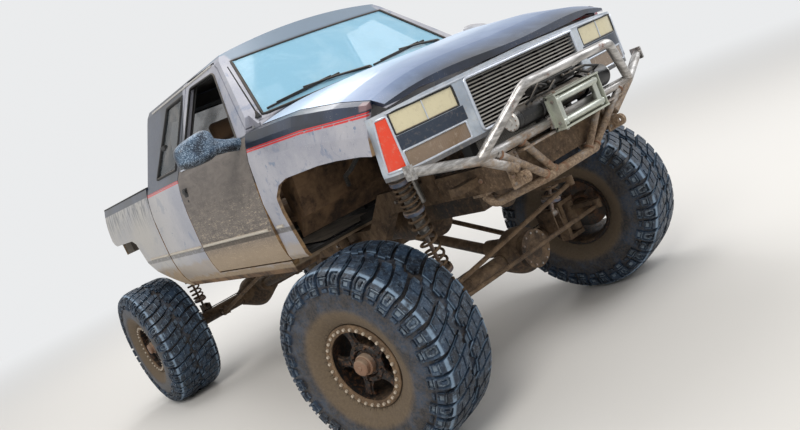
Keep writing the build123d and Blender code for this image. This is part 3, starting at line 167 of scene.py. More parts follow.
class Finish(Wiring):
    """One procedural material."""

    def __init__(self, name, **constants):
        self.material = bpy.data.materials.new(name)
        self.material.use_nodes = True
        super().__init__(self.material.node_tree)
        self.tree.nodes.clear()
        self.output = self.tree.nodes.new("ShaderNodeOutputMaterial")
        self.shader = self.tree.nodes.new("ShaderNodeBsdfPrincipled")
        self.tree.links.new(self.shader.outputs[0], self.output.inputs[0])
        self.place = self.node("ShaderNodeTexCoord", {}, {}, "Object")
        self.set(**constants)

    def set(self, **values):
        """Sets the shader's sockets, named in lower case with underscores."""
        for key, value in values.items():
            socket = self.shader.inputs[key.replace("_", " ").title().replace("Ior", "IOR")]
            if isinstance(value, Reading):
                self.tree.links.new(value.socket, socket)
            else:
                socket.default_value = value

    def noise(self, scale, detail=4.0, rough=0.55, stretch=(1, 1, 1), shift=0.0, bend=0.0, turn=0.0):
        values = {"Vector": self.place, "Scale": stretch, "Location": (shift,) * 3, "Rotation": (turn, 0.0, 0.0)}
        moved = self.node("ShaderNodeMapping", {}, values)
        values = {"Vector": moved, "Scale": scale, "Detail": detail, "Roughness": rough, "Distortion": bend}
        return self.node("ShaderNodeTexNoise", {}, values)

    def cells(self, scale):
        return self.node("ShaderNodeTexVoronoi", {}, {"Vector": self.place, "Scale": scale})

    def mix(self, mask, below, above):
        """One colour over another, each a reading or a colour as it is seen."""
        below, above = [c if isinstance(c, Reading) else tint(*c) for c in (below, above)]
        return self.node("ShaderNodeMix", {"data_type": "RGBA"}, {"Factor": mask, 6: below, 7: above}, 2)

    def bump(self, height, strength=0.4, distance=0.002):
        values = {"Height": height, "Strength": strength, "Distance": distance}
        return self.node("ShaderNodeBump", {}, values)

    def marks(self):
        """How high above the sill, how far back from the front axle and how far off the middle."""
        return self.place.part(2) - SILL_Z, self.place.part(1) - FRONT_AXLE_Y, abs(self.place.part(0))

    def facing(self, index):
        """How far the surface faces along an axis."""
        return self.node("ShaderNodeNewGeometry", {}, {}, "Normal").part(index)


RUST = (0.40, 0.27, 0.18)
MUD = (0.46, 0.38, 0.30)
DUST = (0.66, 0.60, 0.53)


def stripe_height(finish):
    """The pinstripe's height at each station."""
    station = finish.place.part(1) - FRONT_AXLE_Y
    low = station.rise(-0.67, -0.13, 0.683, 0.738, soft=False)
    middle = station.rise(-0.13, 0.48, 0.0, 0.031, soft=False)
    return low + middle + station.rise(0.48, 1.80, 0.0, 0.021, soft=False)


def body_paint(name, mud_top=0.20, mud_cover=0.5, film=0.0, sky_sheen=0.0):
    """Two-tone paint with its pinstripes, stone chips and dried mud, and painted light: a sky reflection on the hood's
    top, a highlight on the roof's brow, and shade under the side moulding and inside the cabin. film is a smooth coat
    of brown mud, sky_sheen how strongly a painted sky reflection pales the top's dark colour towards the cab."""
    finish = Finish(name, specular_ior_level=0.5, coat_roughness=0.16)
    mix, noise = finish.mix, finish.noise
    height, station, across = finish.marks()
    stripe = stripe_height(finish)
    broad = noise(2.2, 5, 0.6)
    fine = noise(34, 6, 0.65, shift=3)
    grain = noise(210, 3, 0.6, shift=7)
    speck = finish.cells(95)
    cloud = noise(6.5, 6, 0.6, shift=5, bend=0.5)
    up = finish.facing(2).rise(0.15, 0.95)
    silver = mix(broad.rise(0.35, 0.65), (0.57, 0.575, 0.62), (0.67, 0.665, 0.69))
    silver = silver.coat(cloud.rise(0.58, 0.64) * 0.55, (0.42, 0.47, 0.57))
    silver = silver.coat(fine.rise(0.56, 0.70) * 0.5, (0.46, 0.48, 0.53))
    chips = noise(13, 4, 0.6, shift=31, bend=0.4).rise(0.645, 0.675)
    silver = silver.coat(chips * 0.75, (0.38, 0.46, 0.56))
    # Tan dust gathers towards the tail, and dark water marks run down from the rail
    tail = station.rise(1.6, 3.0) * 0.70
    silver = silver.coat(tail * broad.rise(0.25, 0.6, 0.5, 1.0), (0.66, 0.63, 0.57))
    runs = noise(30, 5, 0.6, stretch=(1, 1, 0.12), shift=41).rise(0.44, 0.60)
    silver = silver.coat(runs * station.rise(2.45, 2.50) * height.rise(0.50, 0.76) * 0.85, (0.30, 0.31, 0.32))
    silver = silver.coat(grain.rise(0.60, 0.70) * 0.5, (0.80, 0.79, 0.78))
    dark = mix(broad.rise(0.4, 0.62), (0.075, 0.10, 0.15), (0.13, 0.18, 0.27))
    # Painted sky reflection: the hood's upward faces pale through blue towards the windshield
    top = up.rise(0.0, 0.5) * sky_sheen
    blue = (station.rise(-0.84, -0.58) + (cloud - 0.5) * 0.3).at_least(0.0).at_most(1.0) * top
    dark = dark.coat(blue, (0.36, 0.46, 0.62))
    pale = (station.rise(-0.66, -0.12) + (cloud - 0.5) * 0.4).at_least(0.0).at_most(0.92) * top
    dark = dark.coat(pale, mix(fine, (0.66, 0.75, 0.87), (0.82, 0.88, 0.94)))
    # Painted highlight: the roof's brow over the windshield is painted pale
    brow_highlight = height.rise(1.31, 1.34) * station.fall(1.10, 1.42) * 0.75
    dark = dark.coat(brow_highlight, (0.50, 0.57, 0.64))
    dusty = (up * 0.35 + broad.rise(0.35, 0.75) * 0.3) * fine.rise(0.30, 0.75)
    dark = dark.coat(dusty.at_most(0.5) * station.rise(0.4, 2.6, 0.10, 0.75), (0.40, 0.38, 0.36))
    above = (height - stripe).rise(-0.001, 0.001, soft=False)
    # The windshield's pillars and the doors' frames are light silver
    frames = height.rise(0.85, 0.86) * station.rise(0.41, 0.43) * station.fall(1.56, 1.58)
    frames = frames * (0.0 if name in ("fender_paint", "hood_paint") else 1.0)
    frames = frames * height.fall(1.372, 1.376) * across.rise(0.60, 0.62)
    above = above - above * frames
    paint = mix(above, silver, dark)
    first = abs(height - stripe - 0.005).fall(0.0026, 0.0038)
    second = abs(height - stripe + 0.007).fall(0.0040, 0.0052)
    worn = fine.rise(0.34, 0.42) * across.rise(0.86, 0.88) * station.fall(2.48, 2.50)
    paint = paint.coat((first + second).at_most(1.0) * worn, (0.78, 0.17, 0.17))
    # Rust and bare patches at the front corner's tip
    tip = station.fall(-0.615, -0.595) * (height - stripe).rise(0.012, 0.018) * across.rise(0.842, 0.850)
    paint = paint.coat(tip * cloud.rise(0.30, 0.45, 0.5, 0.9), (0.50, 0.39, 0.40))
    splash = noise(9, 7, 0.7, stretch=(1, 0.55, 1), shift=11, bend=0.6)
    low_mud = height.fall(0.0, mud_top) + (splash - 0.5) * 1.6
    mud_mask = low_mud.rise(0.35, 0.75) * mud_cover * 2.0
    mud_mask = mud_mask.at_most(1.0) * fine.rise(0.2, 0.5, 0.75, 1.0)
    mud = mix(fine.rise(0.35, 0.7), MUD, (0.63, 0.55, 0.45))
    colour = mix(mud_mask, paint, mud)
    rocker = (height.fall(0.10, 0.29) + (cloud - 0.5) * 1.2).rise(0.35, 0.65) * 0.65
    colour = colour.coat(rocker * fine.rise(0.25, 0.5, 0.6, 1.0), (0.64, 0.57, 0.48))
    if name == "bed_paint":
        inside = across.fall(0.825, 0.835) * height.rise(0.370, 0.380) * station.fall(3.915, 3.920)
        worn_bed = mix(cloud.rise(0.40, 0.62), (0.50, 0.46, 0.41), (0.36, 0.35, 0.35))
        colour = mix(inside * 0.85, colour, mix(runs * 0.6, worn_bed, (0.22, 0.20, 0.19)))
    # A smooth brown coat from the belt down, streaked and wiped where things rubbed along it
    coat = height.fall(0.842, 0.847) * film
    streak = noise(5, 6, 0.7, stretch=(1, 1.0, 2.6), shift=21, bend=1.2)
    rub = noise(26, 7, 0.75, stretch=(1, 0.9, 1.4), shift=17, bend=1.5)
    smooth = mix(streak.rise(0.30, 0.70), (0.35, 0.325, 0.31), (0.44, 0.41, 0.385))
    scratch = noise(46, 5, 0.8, stretch=(1, 0.45, 1.3), shift=51, bend=2.6).rise(0.57, 0.61)
    smooth = smooth.coat(scratch * height.rise(0.30, 0.66, 0.7, 0.05), (0.70, 0.65, 0.59))
    # Twigs have drawn thin slanting lines through the mud
    for turn, scale, shift in ((0.9, 10, 61), (-0.5, 13, 67), (1.3, 17, 73)):
        drawn = noise(scale, 3, 0.5, stretch=(1, 0.25, 3.0), shift=shift, bend=1.2, turn=turn)
        line = abs(drawn - 0.5).fall(0.003, 0.010) * fine.rise(0.42, 0.55)
        smooth = smooth.coat(line * height.rise(0.34, 0.72, 0.9, 0.0), (0.72, 0.66, 0.58))
    smooth = smooth.coat(rub.rise(0.58, 0.64) * height.rise(0.25, 0.62, 0.7, 0.1), (0.58, 0.53, 0.48))
    smooth = smooth.coat(height.rise(0.16, 0.34, 0.75, 0.0), (0.66, 0.58, 0.48))
    colour = colour.coat(coat * streak.rise(0.10, 0.28), smooth)
    flecks = speck.fall(0.10, 0.16) * broad.rise(0.45, 0.6) * height.rise(0.75, 0.80, 1.0, 0.4)
    colour = colour.coat(flecks * 0.7, (0.70, 0.65, 0.58))
    # Inside the wheel wells and under the floor everything is brown
    well = across.fall(0.862, 0.880) * height.fall(0.60, 0.66)
    if name == "bed_paint":
        well = well * height.fall(0.36, 0.38)
    if name == "cab_paint":
        well = (well * station.fall(0.56, 0.60)).at_least(height.fall(0.030, 0.045))
    earth = mix((cloud + fine * 0.4).rise(0.5, 0.9), (0.20, 0.14, 0.10), (0.50, 0.39, 0.28))
    colour = colour.coat(well, earth)
    # Golden mud on the arches' rolled edges, and painted shade darkening the groove under the side moulding
    lip = abs(finish.facing(0)).fall(0.45, 0.70) * height.rise(0.03, 0.06) * height.fall(0.57, 0.60)
    lip = lip * across.rise(0.885, 0.895)
    colour = colour.coat(lip * 0.9, mix(fine.rise(0.35, 0.65), (0.42, 0.31, 0.19), (0.63, 0.50, 0.33)))
    moulding_shade = height.rise(0.262, 0.268) * height.fall(0.292, 0.296) * across.rise(0.90, 0.91)
    colour = colour.coat(moulding_shade * fine.rise(0.35, 0.5, 0.35, 0.8), (0.25, 0.22, 0.19))
    if name in ("cab_paint", "door_paint"):
        # Painted shade inside the cabin: its inner faces and the roof's underside are painted dark and mottled
        inner = 0.850 - (height - 0.842).at_least(0.0) * 0.446
        front = (height - 0.90).at_least(0.0) * 1.024 + 0.545
        cabin_shade = (inner - across).rise(-0.020, -0.012) * (station - front).rise(-0.005, 0.005)
        rear = station + (height - 0.84).at_least(0.0) * 0.065
        cabin_shade = cabin_shade * height.rise(0.062, 0.066) * height.fall(1.376, 1.380) * rear.fall(2.440, 2.445)
        inward = (finish.facing(0) * finish.place.part(0) / across.at_least(0.01)).fall(-0.7, -0.4)
        roof_underside_shade = finish.facing(2).fall(-0.6, -0.4) * height.rise(1.30, 1.31)
        cabin_shade = cabin_shade.at_least(inward * height.rise(0.10, 0.12)).at_least(roof_underside_shade)
        colour = colour.coat(cabin_shade, mix(fine, (0.085, 0.08, 0.075), (0.17, 0.155, 0.14)))
    rough = mud_mask.at_least(coat * 0.75).at_least(well)
    finish.set(base_color=colour)
    finish.set(roughness=rough * 0.45 + 0.34 + up * 0.06, metallic=0.18 - rough * 0.18)
    finish.set(coat_weight=(0.25 - rough * 0.25).at_least(0.0))
    finish.set(normal=finish.bump(fine * rough + grain * 0.12, 0.5, 0.0022))
    return finish.material


def rough_steel(name, rust=0.35, dust=0.4, shade=0.62, metallic=0.8, cast=(1.0, 0.985, 0.96)):
    """Bare or plated metal with rust blooms and a film of dust. cast is the metal's own tone."""
    finish = Finish(name)
    mix, noise = finish.mix, finish.noise
    broad = noise(7, 6, 0.65)
    fine = noise(60, 5, 0.7, shift=5)
    low, high = ([min(1.0, shade * level * c) for c in cast] for level in (0.86, 1.12))
    colour = mix(fine, low, high)
    rusty = (broad + fine * 0.5).rise(0.98 - rust, 1.12 - rust * 0.6)
    colour = mix(rusty * 0.85, colour, mix(fine, RUST, (0.55, 0.38, 0.25)))
    up = finish.facing(2).rise(-0.2, 0.9)
    dusty = (up * 0.6 + broad * 0.7).rise(0.75 - dust * 0.6, 1.25 - dust * 0.5) * dust
    colour = mix(dusty.at_most(0.9), colour, mix(fine, MUD, DUST))
    finish.set(base_color=colour, metallic=(1 - rusty * 0.8 - dusty * 0.9).at_least(0.0) * metallic)
    finish.set(roughness=(0.34 + rusty * 0.3 + dusty * 0.4).at_most(0.9))
    finish.set(normal=finish.bump(fine + broad * 0.5, 0.35, 0.0015))
    return finish.material


def bare_tube(name):
    """Bare tube: bright where hands and straps rub the top bars, brown and tan lower down."""
    finish = Finish(name)
    mix, noise = finish.mix, finish.noise
    height = finish.marks()[0]
    broad = noise(6, 6, 0.65, bend=0.4)
    fine = noise(70, 6, 0.7, shift=5)
    drawn = noise(18, 5, 0.6, stretch=(0.4, 3, 3), shift=9)
    bright = mix(drawn.rise(0.35, 0.65), (0.52, 0.51, 0.50), (0.74, 0.73, 0.72))
    brown = mix(fine.rise(0.35, 0.65), (0.40, 0.32, 0.25), (0.60, 0.52, 0.43))
    mask = (height.rise(0.10, 0.50, 0.72, 0.05) + (broad - 0.5) * 1.5 + (fine - 0.5) * 0.5).rise(0.25, 0.75)
    colour = mix(mask, bright, brown)
    rusty = (broad + fine * 0.4).rise(0.82, 0.92)
    colour = colour.coat(rusty * 0.7, (0.42, 0.22, 0.12))
    finish.set(base_color=colour, metallic=0.85 - mask * 0.65, roughness=mask * 0.36 + rusty * 0.1 + 0.36)
    finish.set(normal=finish.bump(fine + drawn * 0.5, 0.3, 0.0012))
    return finish.material


def header_paint(name):
    """Bright blue-silver round the grille, a dark strip between the lamps, and dust."""
    finish = Finish(name)
    height, _, across = finish.marks()
    fine = finish.noise(60, 6, 0.7, shift=5)
    broad = finish.noise(5, 5, 0.6)
    silver = finish.mix(broad.rise(0.35, 0.65), (0.60, 0.64, 0.69), (0.76, 0.79, 0.82))
    strip = height.rise(0.476, 0.479) * height.fall(0.543, 0.546) * across.rise(0.470, 0.474)
    strip = strip * finish.facing(1).fall(-0.75, -0.65)
    colour = finish.mix(strip, silver, (0.20, 0.235, 0.29))
    edge = height.fall(0.385, 0.388)
    colour = colour.coat(edge * 0.8, (0.23, 0.20, 0.18))
    dusty = (fine.rise(0.50, 0.70) * 0.45 + broad.rise(0.5, 0.8) * 0.2) * (1 - strip * 0.65)
    colour = colour.coat(dusty, DUST)
    finish.set(base_color=colour, metallic=0.45 - dusty * 0.4, roughness=dusty * 0.4 + 0.32)
    finish.set(normal=finish.bump(fine, 0.2, 0.0008))
    return finish.material


def chassis_black(name, mud=0.5, base=(0.10, 0.09, 0.085)):
    """Old chassis paint under mud, rust and oil."""
    finish = Finish(name)
    broad = finish.noise(5, 6, 0.65)
    fine = finish.noise(45, 6, 0.7, shift=2)
    up = finish.facing(2).rise(-0.6, 0.9)
    colour = finish.mix(fine.rise(0.45, 0.75), base, RUST)
    mask = (broad * 1.1 + up * 0.35 + fine * 0.25).rise(1.05 - mud, 1.35 - mud * 0.6)
    patch = finish.noise(13, 6, 0.7, shift=14, bend=0.4)
    earth = finish.mix(patch.rise(0.32, 0.68), (0.29, 0.225, 0.165), (0.46, 0.375, 0.285))
    earth = earth.coat(fine.rise(0.5, 0.75) * 0.45, (0.60, 0.52, 0.43))
    colour = colour.coat(mask * patch.rise(0.25, 0.45, 0.6, 1.0), earth)
    finish.set(base_color=colour, roughness=0.55 + mask * 0.35, metallic=0.25 - mask * 0.25)
    finish.set(normal=finish.bump(fine + broad, 0.5, 0.003))
    return finish.material


def moulded_plastic(name, shade, dust=0.3, rough=0.5):
    finish = Finish(name)
    fine = finish.noise(160, 4, 0.6)
    broad = finish.noise(8, 5, 0.6, shift=4)
    up = finish.facing(2).rise(-0.1, 0.9)
    speck = finish.noise(75, 6, 0.75, shift=9).rise(0.62 - dust * 0.1, 0.70)
    mask = ((up * 0.5 + broad * 0.6).rise(0.45, 1.0) * dust + speck * dust).at_most(0.9)
    colour = finish.mix(mask, shade, DUST)
    finish.set(base_color=colour, roughness=rough + mask * 0.3, normal=finish.bump(fine, 0.25, 0.0006))
    return finish.material


def window_glass(name, shade=(0.66, 0.80, 0.84), cover=0.35, dust=0.35):
    """Tinted glass with a wiped film of dust."""
    finish = Finish(name, ior=1.45, specular_ior_level=0.7)
    broad = finish.noise(3.2, 5, 0.6, bend=0.7)
    fine = finish.noise(60, 5, 0.7, shift=5)
    film = (broad.rise(0.42, 0.70) * 0.7 + fine.rise(0.55, 0.8) * 0.5) * dust
    finish.set(base_color=finish.mix(film, shade, DUST), roughness=0.05 + film * 0.5)
    finish.set(alpha=(film + cover).at_most(0.95))
    return finish.material


def lamp_lens(name, shade, cover=0.55):
    """A lens with moulded flutes."""
    finish = Finish(name, ior=1.49, coat_weight=0.5, coat_roughness=0.06)
    fine = finish.noise(40, 5, 0.7)
    flute = finish.node("ShaderNodeTexWave", {"bands_direction": "X"}, {"Vector": finish.place, "Scale": 28.0})
    colour = finish.mix(fine.rise(0.5, 0.8) * 0.5, shade, DUST)
    finish.set(base_color=colour, roughness=fine.rise(0.5, 0.8) * 0.35 + 0.12, alpha=cover)
    finish.set(normal=finish.bump(flute, 0.3, 0.001))
    return finish.material


def tyre_rubber(name):
    """Black rubber with a painted blue sky sheen: scuffed lug faces painted with light blue highlights, painted
    highlights along the lugs' edges and one ridge, dusty grooves and a tan ring by the bead.
    """
    finish = Finish(name, specular_ior_level=0.45)
    mix, noise = finish.mix, finish.noise
    uv = finish.node("ShaderNodeUVMap", {"uv_map": "wheel"}, {})
    lift, radius = uv.part(0), uv.part(1)
    broad = noise(11, 6, 0.65)
    fine = noise(70, 6, 0.75, shift=4)
    grain = noise(260, 4, 0.7, shift=8)
    # Painted sky sheen: the black rubber is tinted blue
    rubber = mix(broad.rise(0.4, 0.65), (0.075, 0.10, 0.14), (0.15, 0.22, 0.30))
    chunk = noise(42, 5, 0.7, shift=12, bend=0.8)
    # Scuffs on the lug faces, painted light blue as highlights
    scuff_and_highlight = (fine.rise(0.52, 0.64) * 0.5 + chunk.rise(0.53, 0.60) * 0.6).at_most(1.0) * lift.rise(0.006, 0.012)
    rubber = rubber.coat(scuff_and_highlight * 0.75, (0.36, 0.43, 0.50))
    # Painted highlight along a ridge of the lug tops
    ridge_highlight = abs(radius - 0.5395).fall(0.002, 0.0065) * lift.rise(0.010, 0.016) * broad.rise(0.30, 0.50)
    rubber = rubber.coat(ridge_highlight * 0.75, (0.52, 0.61, 0.70))
    # Painted highlight on the lugs' sharp outer edges, where Pointiness is high
    edge = finish.node("ShaderNodeNewGeometry", {}, {}, "Pointiness").rise(0.515, 0.60) * lift.rise(0.004, 0.010)
    rubber = rubber.coat(edge * broad.rise(0.30, 0.50) * 0.95, (0.66, 0.72, 0.77))
    floor = lift.fall(0.001, 0.006)
    earth = mix(fine, (0.30, 0.25, 0.20), (0.47, 0.41, 0.33))
    rubber = rubber.coat(floor * fine.rise(0.35, 0.6) * 0.30, earth)
    ring = radius.fall(0.265, 0.400)
    dusty = (ring * 1.25 + (broad - 0.5) * 0.9).rise(0.25, 0.9)
    rubber = rubber.coat(dusty * 0.92, earth)
    finish.set(base_color=rubber, roughness=0.50 + dusty * 0.38 - scuff_and_highlight * 0.1)
    finish.set(normal=finish.bump(fine * 0.7 + grain * 0.5 + broad * 0.6, 0.55, 0.003))
    return finish.material


def speckled_shell(name):
    """Blue-black moulded plastic covered in small pale flecks, where its paint has come away, with painted shade on its
    downward faces.
    """
    finish = Finish(name)
    fine = finish.noise(170, 6, 0.8, shift=3)
    broad = finish.noise(9, 5, 0.6)
    flecks = (fine + (broad - 0.5) * 0.25).rise(0.53, 0.58)
    base = finish.mix(broad.rise(0.35, 0.65), (0.10, 0.15, 0.21), (0.20, 0.31, 0.41))
    # Painted shade: faces turned downwards are darkened
    base = base.coat(finish.facing(2).rise(-0.5, -0.1, 0.8, 0.0), (0.05, 0.05, 0.06))
    finish.set(base_color=finish.mix(flecks * 0.85, base, (0.66, 0.73, 0.80)))
    finish.set(roughness=flecks * 0.25 + 0.42, normal=finish.bump(fine, 0.35, 0.0008))
    return finish.material


def woven_cloth(name, shade):
    finish = Finish(name, sheen_weight=0.3)
    warp = finish.node("ShaderNodeTexWave", {"bands_direction": "X"}, {"Vector": finish.place, "Scale": 260.0})
    weft = finish.node("ShaderNodeTexWave", {"bands_direction": "Z"}, {"Vector": finish.place, "Scale": 260.0})
    broad = finish.noise(7, 5, 0.6)
    weave = warp * weft
    colour = finish.mix(weave * 0.5, shade, [c * 0.72 for c in shade])
    colour = colour.coat(broad.rise(0.5, 0.7) * 0.35, MUD)
    finish.set(base_color=colour, roughness=0.9, normal=finish.bump(weave, 0.5, 0.0008))
    return finish.material


MATERIALS = {}


# MESHES


def added(name, data):
    """A new object in the scene."""
    thing = bpy.data.objects.new(name, data)
    bpy.context.scene.collection.objects.link(thing)
    return thing


def mesh_of(name, points, faces=()):
    mesh = bpy.data.meshes.new(name)
    mesh.from_pydata([tuple(p) for p in points], [], faces)
    return mesh


def plain(thing):
    """The thing's mesh with its modifiers applied."""
    return bpy.data.meshes.new_from_object(thing.evaluated_get(bpy.context.evaluated_depsgraph_get()))


def piece(name, points, faces, finish, body, smooth):
    """A mesh piece that rides on a body. smooth is the angle above which edges stay sharp."""
    mesh = mesh_of(name, points, faces)
    mesh.materials.append(MATERIALS[finish])
    mesh.shade_smooth()
    mesh.set_sharp_from_angle(angle=math.radians(smooth))
    thing = added(name, mesh)
    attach(thing, body)
    return thing


class Shape:
    """Points and faces gathered from simple forms."""

    def __init__(self):
        self.points = []
        self.faces = []

    def add(self, points, faces, move=None):
        start = len(self.points)
        self.points += [move @ Vector(p) if move else Vector(p) for p in points]
        self.faces += [[i + start for i in face] for face in faces]
        return self

    def ring(self, profile, segments, move=None, closed=False, phase=0.0):
        """A turned form about X: profile is (across, radius) pairs, from one pole or edge to the other."""
        points = []
        for across, radius in profile:
            points += [(across, y, z) for y, z in circle(segments, radius, phase)]
        faces = []
        rows = len(profile)
        for r in range(rows if closed else rows - 1):
            for k in range(segments):
                a = r * segments + k
                b = r * segments + (k + 1) % segments
                c = ((r + 1) % rows) * segments + (k + 1) % segments
                d = ((r + 1) % rows) * segments + k
                faces.append([a, d, c, b])
        if not closed:
            faces.append(list(range(segments)))
            faces.append([rows * segments - 1 - k for k in range(segments)])
        return self.add(points, faces, move)

    def tube(self, path, radius, sides=10, closed=False, up=None):
        """A round tube along a path of points. up holds the section's first side for a closed path."""
        path = [Vector(p) for p in path]
        count = len(path)
        normal = None
        points = []
        for i, middle in enumerate(path):
            if closed:
                ahead = (path[(i + 1) % count] - path[i - 1]).normalized()
                normal = Vector(up)
            else:
                ahead = (path[min(i + 1, count - 1)] - path[max(i - 1, 0)]).normalized()
                if normal is None:
                    normal = ahead.orthogonal().normalized()
            normal = (normal - ahead * normal.dot(ahead)).normalized()
            across = ahead.cross(normal)
            size = radius[i] if isinstance(radius, (list, tuple)) else radius
            points += [middle + normal * u + across * v for u, v in circle(sides, size, 0.5)]
        faces = []
        for i in range(count if closed else count - 1):
            for k in range(sides):
                a = i * sides + k
                b = i * sides + (k + 1) % sides
                c = (i + 1) % count * sides
                faces.append([a, b, c + (k + 1) % sides, c + k])
        if not closed:
            faces.append([sides - 1 - k for k in range(sides)])
            faces.append([(count - 1) * sides + k for k in range(sides)])
        return self.add(points, faces)

    def block(self, low, high, move=None, bevel=0.0):
        """A box with its edges cut back."""
        work = bmesh.new()
        bmesh.ops.create_cube(work, size=1.0)
        size = Vector(high) - Vector(low)
        middle = (Vector(high) + Vector(low)) / 2
        for vertex in work.verts:
            vertex.co = Vector([vertex.co[i] * size[i] for i in range(3)]) + middle
        if bevel:
            bmesh.ops.bevel(work, geom=work.edges[:], offset=bevel, segments=2, affect="EDGES", profile=0.6)
        work.verts.index_update()
        self.add([v.co.copy() for v in work.verts], [[v.index for v in f.verts] for f in work.faces], move)
        work.free()
        return self

    def box(self, across, stations, heights, bevel=0.0):
        """A box between two places each way on the truck."""
        low, high = zip(*(sorted(pair) for pair in (across, stations, heights)))
        return self.block(spot(*low), spot(*high), None, bevel)

    def plate(self, outline, near, far, frame_of):
        """An outline swept between two depths. frame_of turns (u, v, depth) into a point."""
        count = len(outline)
        points = [frame_of(u, v, near) for u, v in outline] + [frame_of(u, v, far) for u, v in outline]
        faces = [[i, (i + 1) % count, count + (i + 1) % count, count + i] for i in range(count)]
        faces.append([count - 1 - i for i in range(count)])
        faces.append([count + i for i in range(count)])
        return self.add(points, faces)

    def make(self, name, finish, body="chassis", smooth=35):
        """The finished piece, with its faces turned outwards."""
        work = bmesh.new()
        for point in self.points:
            work.verts.new(point)
        work.verts.ensure_lookup_table()
        for face in self.faces:
            try:
                work.faces.new([work.verts[i] for i in face])
            except ValueError:
                continue
        bmesh.ops.recalc_face_normals(work, faces=work.faces[:])
        work.verts.index_update()
        points = [v.co.copy() for v in work.verts]
        faces = [[v.index for v in f.verts] for f in work.faces]
        work.free()
        return piece(name, points, faces, finish, body, smooth)


class Growth(Wiring):
    """A geometry tree that sets copies on points, with its named inputs."""

    def __init__(self, name, **sockets):
        super().__init__(bpy.data.node_groups.new(name, "GeometryNodeTree"))
        face = self.tree.interface
        for key, kind in {"Geometry": "Geometry", **sockets, "Finish": "Material"}.items():
            face.new_socket(key.replace("_", " "), in_out="INPUT", socket_type="NodeSocket" + kind)
        face.new_socket("Geometry", in_out="OUTPUT", socket_type="NodeSocketGeometry")
        self.start = self.tree.nodes.new("NodeGroupInput")

    def given(self, name):
        return Reading(self, self.start.outputs[name])

    def copies(self, points, part, turned):
        values = {"Points": points, "Instance": part, **turned}
        real = self.node("GeometryNodeRealizeInstances", {}, {0: self.node("GeometryNodeInstanceOnPoints", {}, values)})
        paint = self.node("GeometryNodeSetMaterial", {}, {"Geometry": real, "Material": self.given("Finish")})
        self.tree.links.new(paint.socket, self.tree.nodes.new("NodeGroupOutput").inputs[0])
        return self.tree


def ring_tree():
    """Geometry nodes that repeat the piece's own mesh about X."""
    grow = Growth("copies_about_the_axle", Count="Int")
    line = grow.node("GeometryNodeMeshLine", {}, {"Count": grow.given("Count"), "Offset": (0, 0, 0)})
    turn = grow.node("GeometryNodeInputIndex", {}, {}) / grow.given("Count") * (2 * math.pi)
    angle = grow.node("ShaderNodeCombineXYZ", {}, {"X": turn})
    return grow.copies(line, grow.given("Geometry"), {"Rotation": angle})


def stack_tree():
    """Geometry nodes that repeat the piece's own mesh one step apart."""
    grow = Growth("copies_in_a_stack", Count="Int", Step="Vector")
    line = grow.node("GeometryNodeMeshLine", {}, {"Count": grow.given("Count"), "Offset": grow.given("Step")})
    return grow.copies(line, grow.given("Geometry"), {})


def scatter_tree():
    """Geometry nodes that set a bolt head on each point, turned to the point's facing."""
    grow = Growth("fasteners_on_points", Head_Radius="Float", Head_Height="Float", Head_Sides="Int")
    facing = grow.node("GeometryNodeInputNamedAttribute", {"data_type": "FLOAT_VECTOR"}, {"Name": "facing"})
    turned = grow.node("FunctionNodeAlignRotationToVector", {"axis": "Z"}, {"Vector": facing})
    radius = grow.given("Head Radius")
    sizes = {"Radius Bottom": radius, "Radius Top": radius * 0.78, "Depth": grow.given("Head Height")}
    head = grow.node("GeometryNodeMeshCone", {}, {"Vertices": grow.given("Head Sides"), "Fill Segments": 1, **sizes})
    return grow.copies(grow.given("Geometry"), head, {"Rotation": turned})


def grown(name, mesh, tree, settings, body, move=None, smooth=None, weld=0.0):
    """Runs a geometry tree on a mesh, and keeps the result as a plain piece on a body."""
    source = added(name + "_source", mesh)
    modifier = source.modifiers.new("grow", "NODES")
    modifier.node_group = tree
    names = {item.name: item.identifier for item in tree.interface.items_tree if item.in_out == "INPUT"}
    for key, value in settings.items():
        modifier[names[key]] = MATERIALS[value] if key == "Finish" else value
    result = plain(source)
    result.name = name
    bpy.data.objects.remove(source)
    if weld:
        work = bmesh.new()
        work.from_mesh(result)
        bmesh.ops.remove_doubles(work, verts=work.verts[:], dist=weld)
        work.to_mesh(result)
        work.free()
    if move is not None:
        result.transform(move)
    if smooth is not None:
        result.shade_smooth()
        result.set_sharp_from_angle(angle=math.radians(smooth))
    thing = added(name, result)
    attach(thing, body)
    return thing


def fasteners(name, rows, radius, height, material, body, sides=6):
    """Bolt or rivet heads on (point, facing) pairs."""
    mesh = mesh_of(name, [p for p, _ in rows])
    facing = mesh.attributes.new("facing", "FLOAT_VECTOR", "POINT")
    for item, (_, direction) in zip(facing.data, rows):
        item.vector = Vector(direction).normalized()
    settings = {"Head Radius": radius, "Head Height": height, "Head Sides": sides, "Finish": material}
    return grown(name, mesh, TREES["scatter"], settings, body)


def merged(node):
    """A CAD piece's mesh with its loose triangles joined."""
    work = bmesh.new()
    work.from_mesh(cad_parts[node].data)
    bmesh.ops.remove_doubles(work, verts=work.verts[:], dist=0.00005)
    work.normal_update()
    return work


def edge_loops(node, aim, turn=0.75, keep=None):
    """Closed lines round those faces of a CAD piece that look one way."""
    work = merged(node)
    chosen = [
        face for face in work.faces
        if face.normal.dot(aim) > turn and (keep is None or keep(face.calc_center_median()))
    ]
    inside = set(chosen)
    ahead = {}
    for face in chosen:
        for loop in face.loops:
            if not any(other in inside for other in loop.edge.link_faces if other is not face):
                ahead[loop.vert] = loop.link_loop_next.vert
    lines = []
    while ahead:
        start, vertex = ahead.popitem()
        line = [start.co.copy()]
        while vertex is not start and vertex in ahead:
            line.append(vertex.co.copy())
            vertex = ahead.pop(vertex)
        if len(line) > 3:
            lines.append(line)
    work.free()
    return sorted(lines, key=lambda line: -span(line))


